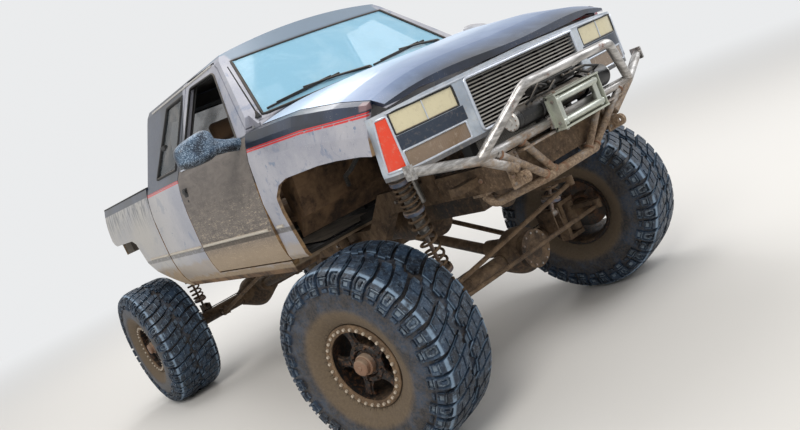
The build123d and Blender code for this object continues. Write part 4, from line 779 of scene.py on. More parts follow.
def span(line):
    """A closed line's length."""
    return sum((a - b).length for a, b in zip(line, line[1:] + line[:1]))


def even(line, step, closed=True):
    """The same line with points about one step apart."""
    walk = line + line[:1] if closed else line
    total = sum((a - b).length for a, b in zip(walk, walk[1:]))
    count = max(4, round(total / step))
    points = []
    k = 0
    done = 0.0
    for i in range(count if closed else count + 1):
        want = total * i / count
        while k < len(walk) - 2 and done + (walk[k + 1] - walk[k]).length < want:
            done += (walk[k + 1] - walk[k]).length
            k += 1
        length = (walk[k + 1] - walk[k]).length
        points.append(walk[k].lerp(walk[k + 1], min(1.0, (want - done) / length) if length else 0.0))
    return points


def trim(name, lines, radius, material, body, aim, lift=0.0, step=0.02, sides=8):
    """A bead of trim or rubber laid along closed lines."""
    shape = Shape()
    aim = Vector(aim).normalized()
    for line in lines:
        shape.tube([p + aim * lift for p in even(line, step)], radius, sides, True, aim)
    return shape.make(name, material, body, 50)


SKINS = {}


def on_skin(nodes, start, aim, lift=0.0):
    """Where a ray meets the outer skin of some CAD pieces, lifted off it."""
    best = None
    for node in nodes:
        if node not in SKINS:
            work = merged(node)
            SKINS[node] = BVHTree.FromBMesh(work)
            work.free()
        place, normal, _, reach = SKINS[node].ray_cast(Vector(start), Vector(aim))
        if place is not None and (best is None or reach < best[1]):
            best = (place + normal * lift, reach)
    return best and best[0]


def side_line(nodes, side, stations, height, lift, least=0.55):
    """Points of the skin along one side of the truck, where it is at least that far off the middle."""
    row = [on_skin(nodes, spot(side * 1.4, station, height), (-side, 0, 0), lift) for station in stations]
    return [p for p in row if p and abs(p.x) > least]


def along(start, end):
    """A placement whose X runs from one point to another."""
    start, end = Vector(start), Vector(end)
    turned = (end - start).to_track_quat("X", "Z").to_matrix().to_4x4()
    return Matrix.Translation(start) @ turned


def between(start, end, share):
    return Vector(start).lerp(Vector(end), share)


def coil(start, end, radius, turns, steps=18, rest=0.6):
    """A helix's points, closed up at both ends."""
    place = along(start, end)
    length = (Vector(end) - Vector(start)).length
    points = []
    count = int(turns * steps)
    for k in range(count + 1):
        share = k / count
        eased = share + rest / turns * math.sin(2 * math.pi * share) * -0.3
        turn = 2 * math.pi * turns * share
        points.append(place @ Vector((length * eased, radius * math.cos(turn), radius * math.sin(turn))))
    return points


def circle(count, radius, phase=0.0):
    """Pairs evenly spaced round a circle."""
    turns = [2 * math.pi * (k + phase) / count for k in range(count)]
    return [(radius * math.cos(turn), radius * math.sin(turn)) for turn in turns]


TREES = {}

WHEELS = {
    "front_right": (-1, FRONT_AXLE_Y, PARKED_STEER),
    "front_left": (1, FRONT_AXLE_Y, PARKED_STEER),
    "rear_right": (-1, REAR_AXLE_Y, 0.0),
    "rear_left": (1, REAR_AXLE_Y, 0.0),
}


def wheel_matrix(side, axle_y, steer):
    """Where a wheel stands: its own +X is the outboard side."""
    turn = Matrix.Rotation(math.radians(steer), 4, "Z")
    kingpin = Matrix.Translation((side * 0.760, axle_y, AXLE_Z))
    out = Matrix.Translation((side * 0.230, 0, 0))
    flip = Matrix.Rotation(math.pi if side < 0 else 0.0, 4, "Z")
    return kingpin @ turn @ out @ flip


# TYRES


# Half of the tyre's section: place across, radius, and which way a lug rises from it
CARCASS = (
    (0.000, 0.526), (0.060, 0.526), (0.120, 0.524), (0.168, 0.519), (0.198, 0.508), (0.214, 0.492),
    (0.219, 0.470), (0.2230, 0.445), (0.2260, 0.420), (0.2300, 0.392), (0.2320, 0.365), (0.2290, 0.335),
    (0.2200, 0.305), (0.2070, 0.280), (0.1950, 0.262), (0.1860, 0.250), (0.1760, 0.2415),
)
# Lugs as boxes on the unrolled tread: along the section, across the pitch, height.
# A length along the section is in metres from the tyre's middle, and later boxes win.
LONG_LUG = (
    (0.012, 0.286, 0.050, 0.470, 0.030),
    (0.012, 0.032, 0.050, 0.210, 0.000),
    (0.070, 0.078, 0.050, 0.470, 0.017),
    (0.128, 0.135, 0.050, 0.325, 0.017),
    (0.184, 0.236, 0.130, 0.390, 0.010),
    (0.198, 0.217, 0.210, 0.325, 0.026),
    (0.246, 0.254, 0.050, 0.470, 0.016),
    (0.258, 0.277, 0.130, 0.390, 0.008),
)
SHORT_LUG = (
    (0.040, 0.246, 0.560, 0.920, 0.029),
    (0.096, 0.104, 0.560, 0.920, 0.017),
    (0.150, 0.157, 0.665, 0.920, 0.017),
    (0.204, 0.212, 0.560, 0.920, 0.016),
    (0.217, 0.236, 0.665, 0.860, 0.010),
    (0.258, 0.277, 0.605, 0.860, 0.016),
    (0.198, 0.217, 0.492, 0.540, 0.010),
    (0.198, 0.217, 0.944, 0.992, 0.010),
    (0.004, 0.032, 0.605, 0.860, 0.012),
)


def section_at(length, lift):
    """A point of the tyre's section, that far along it and lifted off it."""
    walked = 0.0
    for (x0, r0), (x1, r1) in zip(CARCASS, CARCASS[1:]):
        step = math.hypot(x1 - x0, r1 - r0)
        if walked + step >= length or (x1, r1) == CARCASS[-1]:
            share = (length - walked) / step
            out = Vector((r0 - r1, x1 - x0)).normalized()
            x = x0 + (x1 - x0) * share
            r = r0 + (r1 - r0) * share
            fade = 1.0 if length < 0.16 else max(0.55, 1.0 - (length - 0.16) * 6.0)
            x, r = x + out.x * lift * fade, r + out.y * lift * fade
            return min(x, 0.2438), min(r, 0.5570)
        walked += step
    return CARCASS[-1]


def grid_lines(boxes, first, second, low, high, wall):
    """Grid lines just before and after each edge of the boxes."""
    lines = {low, high}
    for box in boxes:
        for value in (box[first], box[second]):
            lines |= {round(value - wall, 6), round(value + wall, 6)}
    return sorted(v for v in lines if low <= v <= high)


def tread_pitch(pitches):
    """One pitch of the tread and both sidewalls, as a height map on the unrolled tyre."""
    boxes = LONG_LUG + SHORT_LUG
    rows = grid_lines(boxes, 0, 1, 0.0, 0.292, 0.0016)
    reach = sum(math.hypot(b[0] - a[0], b[1] - a[1]) for a, b in zip(CARCASS, CARCASS[1:]))
    rows += [0.292 + (reach - 0.292) * k / 6 for k in range(1, 7)]
    columns = grid_lines(boxes, 2, 3, 0.0, 1.0, 0.009)
    pitch = 2 * math.pi / pitches
    points = []
    carried = []
    faces = []
    for side in (-1, 1):
        start = len(points)
        for length in rows:
            slant = 0.42 * (1 - min(length / 0.17, 1.0)) ** 1.3
            for share in columns:
                lift = 0.0
                for low, high, left, right, height in boxes:
                    if low < length < high and left < share < right:
                        lift = height
                if length < 0.001:
                    lift = 0.0
                across, radius = section_at(length, lift)
                turn = pitch * (share + slant * side + (0.5 if side < 0 else 0.0))
                points.append((side * across, radius * math.cos(turn), radius * math.sin(turn)))
                carried.append((lift, radius))
        wide = len(columns)
        for r in range(len(rows) - 1):
            for c in range(wide - 1):
                a = start + r * wide + c
                quad = [a, a + 1, a + wide + 1, a + wide]
                faces.append(quad if side < 0 else quad[::-1])
    # Lining under the rim
    start = len(points)
    edge_x, edge_r = CARCASS[-1]
    steps = 7
    for across, radius in ((edge_x, edge_r), (0.150, 0.222), (-0.150, 0.222), (-edge_x, edge_r)):
        for k in range(steps):
            turn = pitch * k / (steps - 1)
            points.append((across, radius * math.cos(turn), radius * math.sin(turn)))
            carried.append((0.0, radius))
    for r in range(3):
        for k in range(steps - 1):
            a = start + r * steps + k
            faces.append([a, a + 1, a + steps + 1, a + steps])
    return points, faces, carried


class TYRE_OT_build(bpy.types.Operator):
    """Builds the four lugged tyres"""

    bl_idname = "pickup.tyres"
    bl_label = "Tyres"

    def execute(self, context):
        pitches = context.scene.pickup_sizes.lug_pitches
        points, faces, carried = tread_pitch(pitches)
        for name, (side, axle_y, steer) in WHEELS.items():
            mesh = mesh_of("tread_pitch", points, faces)
            layer = mesh.attributes.new("wheel", "FLOAT2", "CORNER")
            for loop, item in zip(mesh.loops, layer.data):
                item.vector = carried[loop.vertex_index]
            settings = {"Count": pitches, "Finish": "tyre_rubber"}
            tyre = grown(
                f"tyre_{name}_tread", mesh, TREES["ring"], settings, f"wheel_{name}",
                wheel_matrix(side, axle_y, steer), 38, 0.0002,
            )
            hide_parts(f"tyre_{name}")
        return {"FINISHED"}


# RIMS

RIM_BARREL = (
    (-0.172, 0.2255), (-0.177, 0.236), (-0.179, 0.238), (-0.179, 0.226), (-0.172, 0.214), (-0.120, 0.203),
    (0.110, 0.203), (0.132, 0.196), (0.160, 0.196), (0.172, 0.197), (0.1725, 0.2255), (0.150, 0.2120),
    (-0.150, 0.2120),
)
LOCK_RING = (
    (0.1728, 0.1975), (0.1770, 0.1955), (0.1830, 0.1975), (0.1850, 0.2050), (0.1855, 0.2230),
    (0.1840, 0.2320), (0.1800, 0.2358), (0.1728, 0.2358),
)
# Half a spoke of the five, as radius and half width: wide at the hub, waisted, and flared to the barrel
SPOKE = (
    (0.088, 0.046), (0.108, 0.034), (0.128, 0.027), (0.150, 0.026), (0.172, 0.031), (0.190, 0.044), (0.2028, 0.060)
)
SPOKE_DISC = 0.128


class RIM_OT_build(bpy.types.Operator):
    """Builds the four beadlock rims with their rings, bolts, spokes, hubs and brakes"""

    bl_idname = "pickup.rims"
    bl_label = "Rims"

    def execute(self, context):
        bolts = context.scene.pickup_sizes.beadlock_bolts
        for name, (side, axle_y, steer) in WHEELS.items():
            place = wheel_matrix(side, axle_y, steer)
            body = f"wheel_{name}"
            barrel = Shape().ring(RIM_BARREL, 80, place, closed=True)
            thing = barrel.make(f"rim_{name}_barrel", "rim_black", body, 30)
            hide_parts(f"rim_{name}")
            ring = Shape().ring(LOCK_RING, 96, place, closed=True)
            ring.make(f"rim_{name}_lock_ring", "dusty_ring", body, 40)
            # Spokes: a raised web with a dished face
            spokes = Shape()
            for k in range(5):
                turn = Matrix.Rotation(2 * math.pi * (k + 0.15) / 5, 4, "X")
                raised = SPOKE_DISC + 0.012
                webs = ((SPOKE, 1.0, SPOKE_DISC, raised), (SPOKE[1:-1], 0.62, raised, raised + 0.009))
                for half, share, near, far in webs:
                    outline = [(r, w * share) for r, w in half] + [(r, -w * share) for r, w in reversed(half)]
                    spokes.plate(
                        outline, near, far,
                        lambda u, v, d, t=turn: place @ t @ Vector((d, v * (1.0 if d < raised + 0.003 else 0.8), u)),
                    )
            spokes.make(f"rim_{name}_spokes", "rim_black", body, 30)
            hub = Shape()
            hub.ring(((0.060, 0.108), (0.140, 0.108), (0.148, 0.100), (0.150, 0.078), (0.136, 0.072), (0.060, 0.072)),
                     48, place, closed=True)
            hub.ring(((0.062, 0.0715), (0.134, 0.0715), (0.138, 0.068)), 48, place)
            hub.make(f"rim_{name}_hub_flange", "rim_black", body, 30)
            cap = Shape().ring(
                ((0.130, 0.056), (0.166, 0.056), (0.172, 0.051), (0.172, 0.046), (0.194, 0.045), (0.200, 0.040),
                 (0.202, 0.030), (0.202, 0.012), (0.206, 0.010)), 40, place)
            cap.make(f"rim_{name}_hub_cap", "bronze_hub", body, 30)
            brake = Shape()
            brake.ring(((-0.014, 0.070), (-0.014, 0.165), (-0.002, 0.165), (-0.002, 0.070)), 64, place, closed=True)
            brake.ring(((-0.050, 0.070), (-0.014, 0.090), (0.030, 0.086), (0.062, 0.072)), 40, place)
            brake.make(f"rim_{name}_brake_disc", "brake_iron", body, 30)
            outward = place.to_3x3() @ Vector((1, 0, 0))
            rows = [(place @ Vector((0.1875, y, z)), outward) for y, z in circle(bolts, 0.2155)]
            heads = fasteners(f"rim_{name}_lock_bolts", rows, 0.0098, 0.0095, "bolt_tan", body, 12)
            rows = [(place @ Vector((0.143, y, z)), outward) for y, z in circle(8, 0.0895, 0.5)]
            fasteners(f"rim_{name}_lug_nuts", rows, 0.0105, 0.016, "rim_black", body)
        return {"FINISHED"}


# SPRINGS AND SHOCK ABSORBERS

# Feet and heads of the coilovers: across, station, height
COILOVERS = (((0.470, -0.130, -0.340), (0.600, -0.265, 0.415)), ((0.520, 3.720, -0.370), (0.560, 3.650, 0.300)))


class COILOVER_OT_build(bpy.types.Operator):
    """Builds the four coilovers with their coils, collars, threads and reservoirs"""

    bl_idname = "pickup.coilovers"
    bl_label = "Coilovers"

    def execute(self, context):
        coils, bodies, collars, shafts = Shape(), Shape(), Shape(), Shape()
        for side in (-1, 1):
            for foot, top in COILOVERS:
                low, high = (spot(side * x, station, height) for x, station, height in (foot, top))
                reach = (high - low).length
                place = along(low, high)
                coils.tube(coil(between(low, high, 0.135), between(low, high, 0.60), 0.0500, 7.5), 0.0080, 8)
                coils.tube(coil(between(low, high, 0.63), between(low, high, 0.835), 0.0500, 5.5), 0.0070, 8)
                for start, stop, inner in ((0.60, 0.63, 0.033), (0.835, 0.870, 0.0315), (0.10, 0.130, 0.014)):
                    a, b = start * reach, stop * reach
                    collars.ring(
                        ((a, inner), (a, 0.057), (a + 0.003, 0.060), (b - 0.003, 0.060), (b, 0.057), (b, inner)),
                        36, place, closed=True,
                    )
                profile = [(0.44 * reach, 0.014), (0.44 * reach, 0.031), (0.46 * reach, 0.032)]
                across = 0.47 * reach
                while across < 0.885 * reach:
                    profile += [(across, 0.0312), (across + 0.002, 0.0292), (across + 0.004, 0.0312)]
                    across += 0.006
                profile += [(0.89 * reach, 0.034), (0.93 * reach, 0.034), (0.94 * reach, 0.026), (0.955 * reach, 0.018)]
                bodies.ring(profile, 28, place)
                bodies.tube([place @ Vector((0.95 * reach, 0, 0)), high], 0.0165, 16)
                shafts.tube([low, between(low, high, 0.48)], 0.0115, 20)
                inboard = Vector((-side, 0.35, 0))
                line = (high - low).normalized()
                inboard = (inboard - line * inboard.dot(line)).normalized()
                bottle = along(between(low, high, 0.60) + inboard * 0.098, between(low, high, 0.93) + inboard * 0.098)
                size = 0.33 * reach
                bodies.ring(
                    ((0, 0.010), (0.004, 0.024), (0.010, 0.0275), (size - 0.02, 0.0275), (size - 0.016, 0.025),
                     (size - 0.010, 0.0275), (size - 0.004, 0.024), (size, 0.012)), 28, bottle)
                for share in (0.12, 0.30):
                    middle = between(low, high, 0.60 + share)
                    bodies.tube([middle + inboard * 0.024, middle + inboard * 0.078], 0.009, 10)
                hose = [between(low, high, 0.955), between(low, high, 0.985) + inboard * 0.035,
                        between(low, high, 0.985) + inboard * 0.080, between(low, high, 0.935) + inboard * 0.098]
                shafts.tube(hose, 0.008, 10)
                for end in (low, high):
                    bodies.ring(((-0.021, 0.010), (-0.021, 0.022), (0.021, 0.022), (0.021, 0.010)), 24,
                                Matrix.Translation(end), closed=True)
                    shafts.ring(((-0.031, 0.0085), (-0.030, 0.0095), (0.030, 0.0095), (0.031, 0.0085)), 16,
                                Matrix.Translation(end))
        made = coils.make("coil_springs", "coil_paint", smooth=60)
        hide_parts("springs")
        made = bodies.make("shock_bodies", "shock_steel", smooth=30)
        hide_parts("shocks")
        collars.make("spring_collars", "collar_blue", smooth=30)
        shafts.make("shock_shafts", "bolt_steel", smooth=50)
        return {"FINISHED"}


# NOSE


def nose_y(x):
    """The nose's station at a place across it."""
    plan = ((0, -0.812), (0.420, -0.801), (0.700, -0.776), (0.850, -0.744), (0.892, -0.712))
    for (x0, y0), (x1, y1) in zip(plan, plan[1:]):
        if abs(x) <= x1:
            return y0 + (y1 - y0) * (abs(x) - x0) / (x1 - x0)
    return plan[-1][1]


def stacked(name, shape, count, step, material, body, smooth=35):
    """Copies of a shape, one step apart."""
    mesh = mesh_of(name, shape.points, shape.faces)
    settings = {"Count": count, "Step": step, "Finish": material}
    return grown(name, mesh, TREES["stack"], settings, body, smooth=smooth)


class NOSE_OT_build(bpy.types.Operator):
    """Builds the grille, the lamps' frames and the bright trim of the nose"""

    bl_idname = "pickup.nose"
    bl_label = "Grille and lamps"

    def execute(self, context):
        count = context.scene.pickup_sizes.grille_slats
        low, high = 0.395, 0.652
        step = (high - low) / (count + 0.6)
        slat = Shape()
        section = ((0.010, -0.0032), (0.007, 0.0), (0.010, 0.0032), (0.036, 0.0042), (0.036, -0.0036))
        stations = [0.4135 * k / 8 for k in range(-8, 9)]
        points = [spot(x, nose_y(x) + back, low + step * 0.8 + up) for x in stations for back, up in section]
        faces = []
        for i in range(len(stations) - 1):
            for k in range(5):
                a, b = i * 5 + k, i * 5 + (k + 1) % 5
                faces.append([a, a + 5, b + 5, b])
        faces += [list(range(5)), [len(points) - 1 - k for k in range(5)]]
        slat.add(points, faces)
        slats = stacked("grille_slats", slat, count, (0, 0, step), "slat_silver", "chassis")
        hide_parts("grille")
        backing = Shape()
        rows = [spot(x, nose_y(x) + back, z) for x in stations for back in (0.040, 0.052) for z in (low, high)]
        faces = []
        for i in range(len(stations) - 1):
            a = i * 4
            faces += [[a, a + 1, a + 5, a + 4], [a + 2, a + 6, a + 7, a + 3], [a, a + 4, a + 6, a + 2],
                      [a + 1, a + 3, a + 7, a + 5]]
        faces += [[0, 2, 3, 1], [len(rows) - 4, len(rows) - 3, len(rows) - 1, len(rows) - 2]]
        backing.add(rows, faces)
        for x in (-0.28, -0.14, 0.0, 0.14, 0.28):
            backing.box((x - 0.003, x + 0.003), (nose_y(x) + 0.014, nose_y(x) + 0.045), (low, high))
        backing.make("grille_backing", "grille_black")
        front = (0, -1, 0)
        lines = edge_loops("header_panel", front, 0.5)
        mouth = [line for line in lines if all(abs(p.x) < 0.42 for p in line) and span(line) > 1.5]
        trim("grille_surround", mouth, 0.0085, "bright_trim", "chassis", front, 0.001, 0.02, 10)
        lamps = edge_loops("headlamps", front, 0.45)
        trim("headlamp_gaskets", lamps, 0.0065, "trim_black", "chassis", front, 0.001, 0.015)
        lamps = edge_loops("turn_lamps", front, 0.45)
        trim("turn_lamp_frames", lamps, 0.0055, "bright_trim", "chassis", front, 0.001, 0.015)
        bars = Shape()
        for side in (-1, 1):
            for x, wide in ((0.672, 0.0032), (0.850, 0.0040)):
                bars.tube([spot(side * x, nose_y(x) + 0.004, z) for z in (0.553, 0.60, 0.646)], wide, 10)
        bars.make("headlamp_dividers", "bright_trim")
        for side, name in SIDES:
            aim = Vector((side * 0.75, -0.66, 0)).normalized()
            lines = edge_loops("side_markers", aim, 0.45, lambda p, s=side: p.x * s > 0)
            trim(f"marker_bezel_{name}", lines[:1], 0.0055, "bright_trim", "chassis", aim, 0.001, 0.015)
        row = [spot(x, nose_y(x) - 0.002, 0.664 - 0.012 * (x / 0.86) ** 2) for x in [0.043 * k for k in range(-20, 21)]]
        Shape().tube(row, 0.0055, 8).make("nose_strip", "bright_trim")
        return {"FINISHED"}


# WINCH

WINCH = (-0.872, 0.380)


class WINCH_OT_build(bpy.types.Operator):
    """Builds the winch with its rope, and the roller fairlead"""

    bl_idname = "pickup.winch"
    bl_label = "Winch"

    def execute(self, context):
        place = Matrix.Translation(spot(0, *WINCH))
        black = Shape()
        black.ring(
            (
                (-0.300, 0.020), (-0.300, 0.044), (-0.292, 0.052), (-0.272, 0.053), (-0.268, 0.050), (-0.262, 0.053),
                (-0.120, 0.053), (-0.116, 0.050), (-0.110, 0.055), (-0.078, 0.055), (-0.078, 0.058), (-0.060, 0.058),
                (-0.060, 0.030),
            ),
            48,
            place,
        )
        black.ring(((0.240, 0.030), (0.240, 0.060), (0.256, 0.060), (0.258, 0.056), (0.290, 0.058), (0.300, 0.061),
                    (0.420, 0.061), (0.430, 0.058), (0.440, 0.050), (0.440, 0.020)), 48, place)
        for k in range(8):
            turn = 2 * math.pi * k / 8
            black.block((0.262, 0.055, -0.006), (0.298, 0.062, 0.006), place @ Matrix.Rotation(turn, 4, "X"), 0.001)
        for z, y in ((0.055, 0.020), (-0.050, 0.030)):
            black.tube([place @ Vector((-0.075, y, z)), place @ Vector((0.250, y, z))], 0.0085, 12)
        for x in (-0.090, 0.255):
            black.box((x, x + 0.015), (-0.870, -0.812), (0.2505, 0.380), 0.002)
        made = black.make("winch_housings", "winch_black", smooth=32)
        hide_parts("winch")
        covers = Shape()
        face = (
            (0.000, 0.005), (0.000, 0.047), (0.008, 0.047), (0.012, 0.042), (0.012, 0.018), (0.018, 0.016),
            (0.018, 0.004),
        )
        for start, way in ((0.440, 1), (-0.300, -1)):
            covers.ring(face, 44, along(spot(start, *WINCH), spot(start + way, *WINCH)))
        covers.make("winch_hub_covers", "cast_silver", smooth=30)
        rows = [(place @ Vector((x, y, z)), (way, 0, 0)) for y, z in circle(10, 0.0395)
                for x, way in ((0.450, 1), (-0.310, -1))]
        fasteners("winch_bolts", rows, 0.0042, 0.005, "bolt_steel", "chassis")
        rope = Shape()
        rope.tube([place @ Vector((x, 0.046 * math.cos(t), 0.046 * math.sin(t)))
                   for x, t in ((-0.055 + 0.0092 * k / 16, 2 * math.pi * k / 16) for k in range(16 * 31))], 0.0046, 6)
        rope.make("winch_rope_turns", "wire_rope", smooth=60)
        box = Shape()
        box.box((-0.115, 0.215), (-0.902, -0.838), (0.448, 0.520), 0.012)
        box.box((-0.122, 0.222), (-0.908, -0.832), (0.478, 0.486), 0.003)
        box.box((0.036, 0.064), (-0.884, -0.846), (0.405, 0.452), 0.003)
        for x in (-0.07, 0.0, 0.11, 0.17):
            box.ring(((0, 0.012), (0.010, 0.012), (0.012, 0.009), (0.020, 0.007)), 16,
                     along(spot(x, -0.903, 0.466), spot(x, -0.940, 0.462)))
        box.make("winch_control_box", "winch_black")
        leads = Shape()
        for start, lift, end in ((-0.07, 0.52, -0.20), (0.0, 0.47, -0.16), (0.11, 0.50, 0.34), (0.17, 0.46, 0.30)):
            tip = spot(end, -0.905, 0.425)
            leads.tube(
                [spot(start, -0.915, 0.465), spot(start, -0.945, 0.468), spot((start + end) / 2, -0.960, lift - 0.03),
                 spot(end, -0.945, 0.44), tip], 0.0065, 8)
        leads.make("winch_leads", "trim_black", smooth=60)
        # Fairlead: back plate, four rollers, two brackets and their pins
        zinc = Shape()
        for low, high in ((0.240, 0.262), (0.398, 0.420)):
            zinc.box((-0.118, 0.258), (-0.946, -0.938), (low, high), 0.0015)
        for x in (-0.118, 0.226):
            zinc.box((x, x + 0.032), (-0.946, -0.938), (0.240, 0.420), 0.0015)
        for z in (0.242, 0.409):
            zinc.box((-0.112, 0.252), (-1.001, -0.938), (z, z + 0.009), 0.002)
        for x in (-0.106, 0.240):
            zinc.box((x, x + 0.006), (-1.000, -0.938), (0.243, 0.418), 0.001)
        made = zinc.make("fairlead_frame", "zinc_plate")
        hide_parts("fairlead")
        rollers = Shape()
        roll = ((0, 0.008), (0, 0.0185), (0.003, 0.0215), (0.012, 0.0215), (0.014, 0.0205))
        places = [(0.332, 1.0, 36, Matrix.Translation(spot(-0.096, -0.974, z))) for z in (0.276, 0.384)]
        places += [(0.148, 0.82, 32, along(spot(x, -0.976, 0.256), spot(x, -0.976, 0.404))) for x in (-0.074, 0.214)]
        for length, share, sides, where in places:
            profile = [(x, r * share) for x, r in roll] + [(length - x, r * share) for x, r in reversed(roll)]
            rollers.ring(profile, sides, where)
        rollers.make("fairlead_rollers", "roller_steel")
        rows = [(spot(x, -0.974, z), (side, 0, 0)) for x, side in ((-0.108, -1), (0.248, 1)) for z in (0.276, 0.384)]
        rows += [(spot(x, -0.976, z), (0, 0, way)) for x in (-0.074, 0.214) for z, way in ((0.240, -1), (0.420, 1))]
        rows += [(spot(x, -0.948, z), (0, -1, 0)) for x in (-0.100, 0.242) for z in (0.252, 0.408)]
        fasteners("fairlead_nuts", rows, 0.009, 0.008, "bolt_steel", "chassis")
        return {"FINISHED"}


# GLASS AND ITS TRIM

SCREEN_AIM = Vector((0, -0.70, 0.71)).normalized()


def on_screen(x, height, lift):
    """A point over the windshield's outer face at a height."""
    return on_skin(("windshield",), spot(x, -0.5, height), (0, 1, 0), lift)


class SCREEN_OT_build(bpy.types.Operator):
    """Builds the windshield's gasket, the wipers, the cowl, the antenna and the inner mirror"""

    bl_idname = "pickup.screen"
    bl_label = "Windshield"

    def execute(self, context):
        lines = edge_loops("windshield", SCREEN_AIM, 0.7)[:1]
        trim("windshield_gasket", lines, 0.0105, "rubber_black", "chassis", SCREEN_AIM, 0.002, 0.03, 10)
        lines = edge_loops("cab_windows", (0, 1, 0), 0.6)[:1]
        trim("rear_window_gasket", lines, 0.010, "rubber_black", "chassis", (0, 1, 0.2), 0.002, 0.03, 10)
        wipers, blades = Shape(), Shape()
        for pivot_x, outer_x, inner_x in ((0.00, -0.725, -0.20), (0.665, 0.035, 0.56)):
            middle_x = (outer_x + inner_x) / 2
            pivot = on_screen(pivot_x, 0.940, 0.010)
            knee = on_screen((pivot_x + middle_x) / 2, 0.954, 0.018)
            foot = pivot + Vector((0, -0.003, -0.003))
            far = on_screen(middle_x, 0.966, 0.020)
            wipers.tube([foot, pivot, knee, far], [0.011, 0.010, 0.0075, 0.0055], 8)
            wipers.ring(((-0.006, 0.010), (-0.004, 0.014), (0.004, 0.014), (0.006, 0.009)), 20,
                        along(foot, foot + Vector((0, -0.7, 0.7))))
            row = [on_screen(outer_x + (inner_x - outer_x) * k / 16, 0.938 + 0.034 * k / 16, 0.010) for k in range(17)]
            blades.tube([p for p in row if p], 0.0070, 6)
            wipers.tube([p + Vector((0, -0.004, 0.008)) for p in row[2:-2] if p], 0.0045, 6)
        wipers.make("wiper_arms", "trim_black", smooth=50)
        blades.make("wiper_blades", "rubber_black", smooth=50)
        mast = Shape()
        root = on_skin(("fender_right", "cab", "hood"), spot(-0.800, 0.46, 1.3), (0, 0, -1))
        mast.ring(((-0.004, 0.020), (0.004, 0.019), (0.016, 0.012), (0.034, 0.007), (0.036, 0.003)), 24,
                  along(root, root + Vector((0, 0, 1))))
        foot = root + Vector((0, 0, 0.03))
        mast.tube([between(foot, spot(-0.772, 0.600, 1.257), share) for share in (0, 0.33, 0.66, 1)],
                  [0.0048, 0.0044, 0.0040, 0.0034], 8)
        mast.make("antenna", "rubber_black", smooth=50)
        cowl = Shape()
        row = [0.76 * k / 20 for k in range(-20, 21)]
        edge = [p for p in (on_screen(x, 0.924, 0.002) for x in row) if p]
        edge = [edge[0] + Vector((-0.066, 0.020, 0))] + edge + [edge[-1] + Vector((0.066, 0.020, 0))]
        points = []
        for p in edge:
            points += [Vector((p.x, p.y + z - 0.924 + back, z + SILL_Z)) for back, z in
                       ((0.0, 0.906), (0.0, 0.862), (0.009, 0.862), (0.009, 0.906))]
        faces = [[a, a + 4, b + 4, b] for i in range(len(edge) - 1) for a, b in
                 [(4 * i + k, 4 * i + (k + 1) % 4) for k in range(4)]]
        cowl.add(points, faces + [[3, 2, 1, 0], [len(points) - 4 + k for k in range(4)]])
        cowl.make("cowl_panel", "cab_paint")
        inner = Shape()
        inner.block((-0.125, -0.010, -0.032), (0.125, 0.012, 0.032), Matrix.Translation(spot(0, 1.02, 1.27)), 0.010)
        inner.tube([spot(0, 1.015, 1.29), spot(0, 0.985, 1.335)], 0.007, 10)
        for side in (-1, 1):
            inner.block((-0.19, -0.006, -0.07), (0.19, 0.006, 0.07),
                        Matrix.Translation(spot(side * 0.33, 1.055, 1.315)) @ Matrix.Rotation(-0.85, 4, "X"), 0.006)
        inner.make("visors_and_inner_mirror", "dash_plastic", smooth=40)
        return {"FINISHED"}


# DOORS


def mirror_shell(side):
    """A door mirror's rounded housing, flat at its rear."""
    shape = Shape()
    middle = spot(side * 1.180, 0.585, 0.882)
    rows, cols = 18, 36
    points = []

    def power(value, share):
        return math.copysign(abs(value) ** share, value)

    for i in range(1, rows):
        lat = math.pi * i / rows
        for k in range(cols):
            lon = 2 * math.pi * k / cols
            wide = power(math.sin(lat), 0.55)
            x = 0.124 * wide * power(math.cos(lon), 0.62)
            z = 0.082 * wide * power(math.sin(lon), 0.62)
            y = -0.060 * power(math.cos(lat), 0.8)
            outer = x * side / 0.112
            points.append(middle + Vector((x, min(y, 0.024), z * (1.0 - 0.13 * outer) - 0.012 * outer)))
    faces = []
    for i in range(rows - 2):
        for k in range(cols):
            a, b = i * cols + k, i * cols + (k + 1) % cols
            faces.append([a, b, b + cols, a + cols])
    faces += [list(range(cols)), [len(points) - 1 - k for k in range(cols)]]
    return shape.add(points, faces), middle


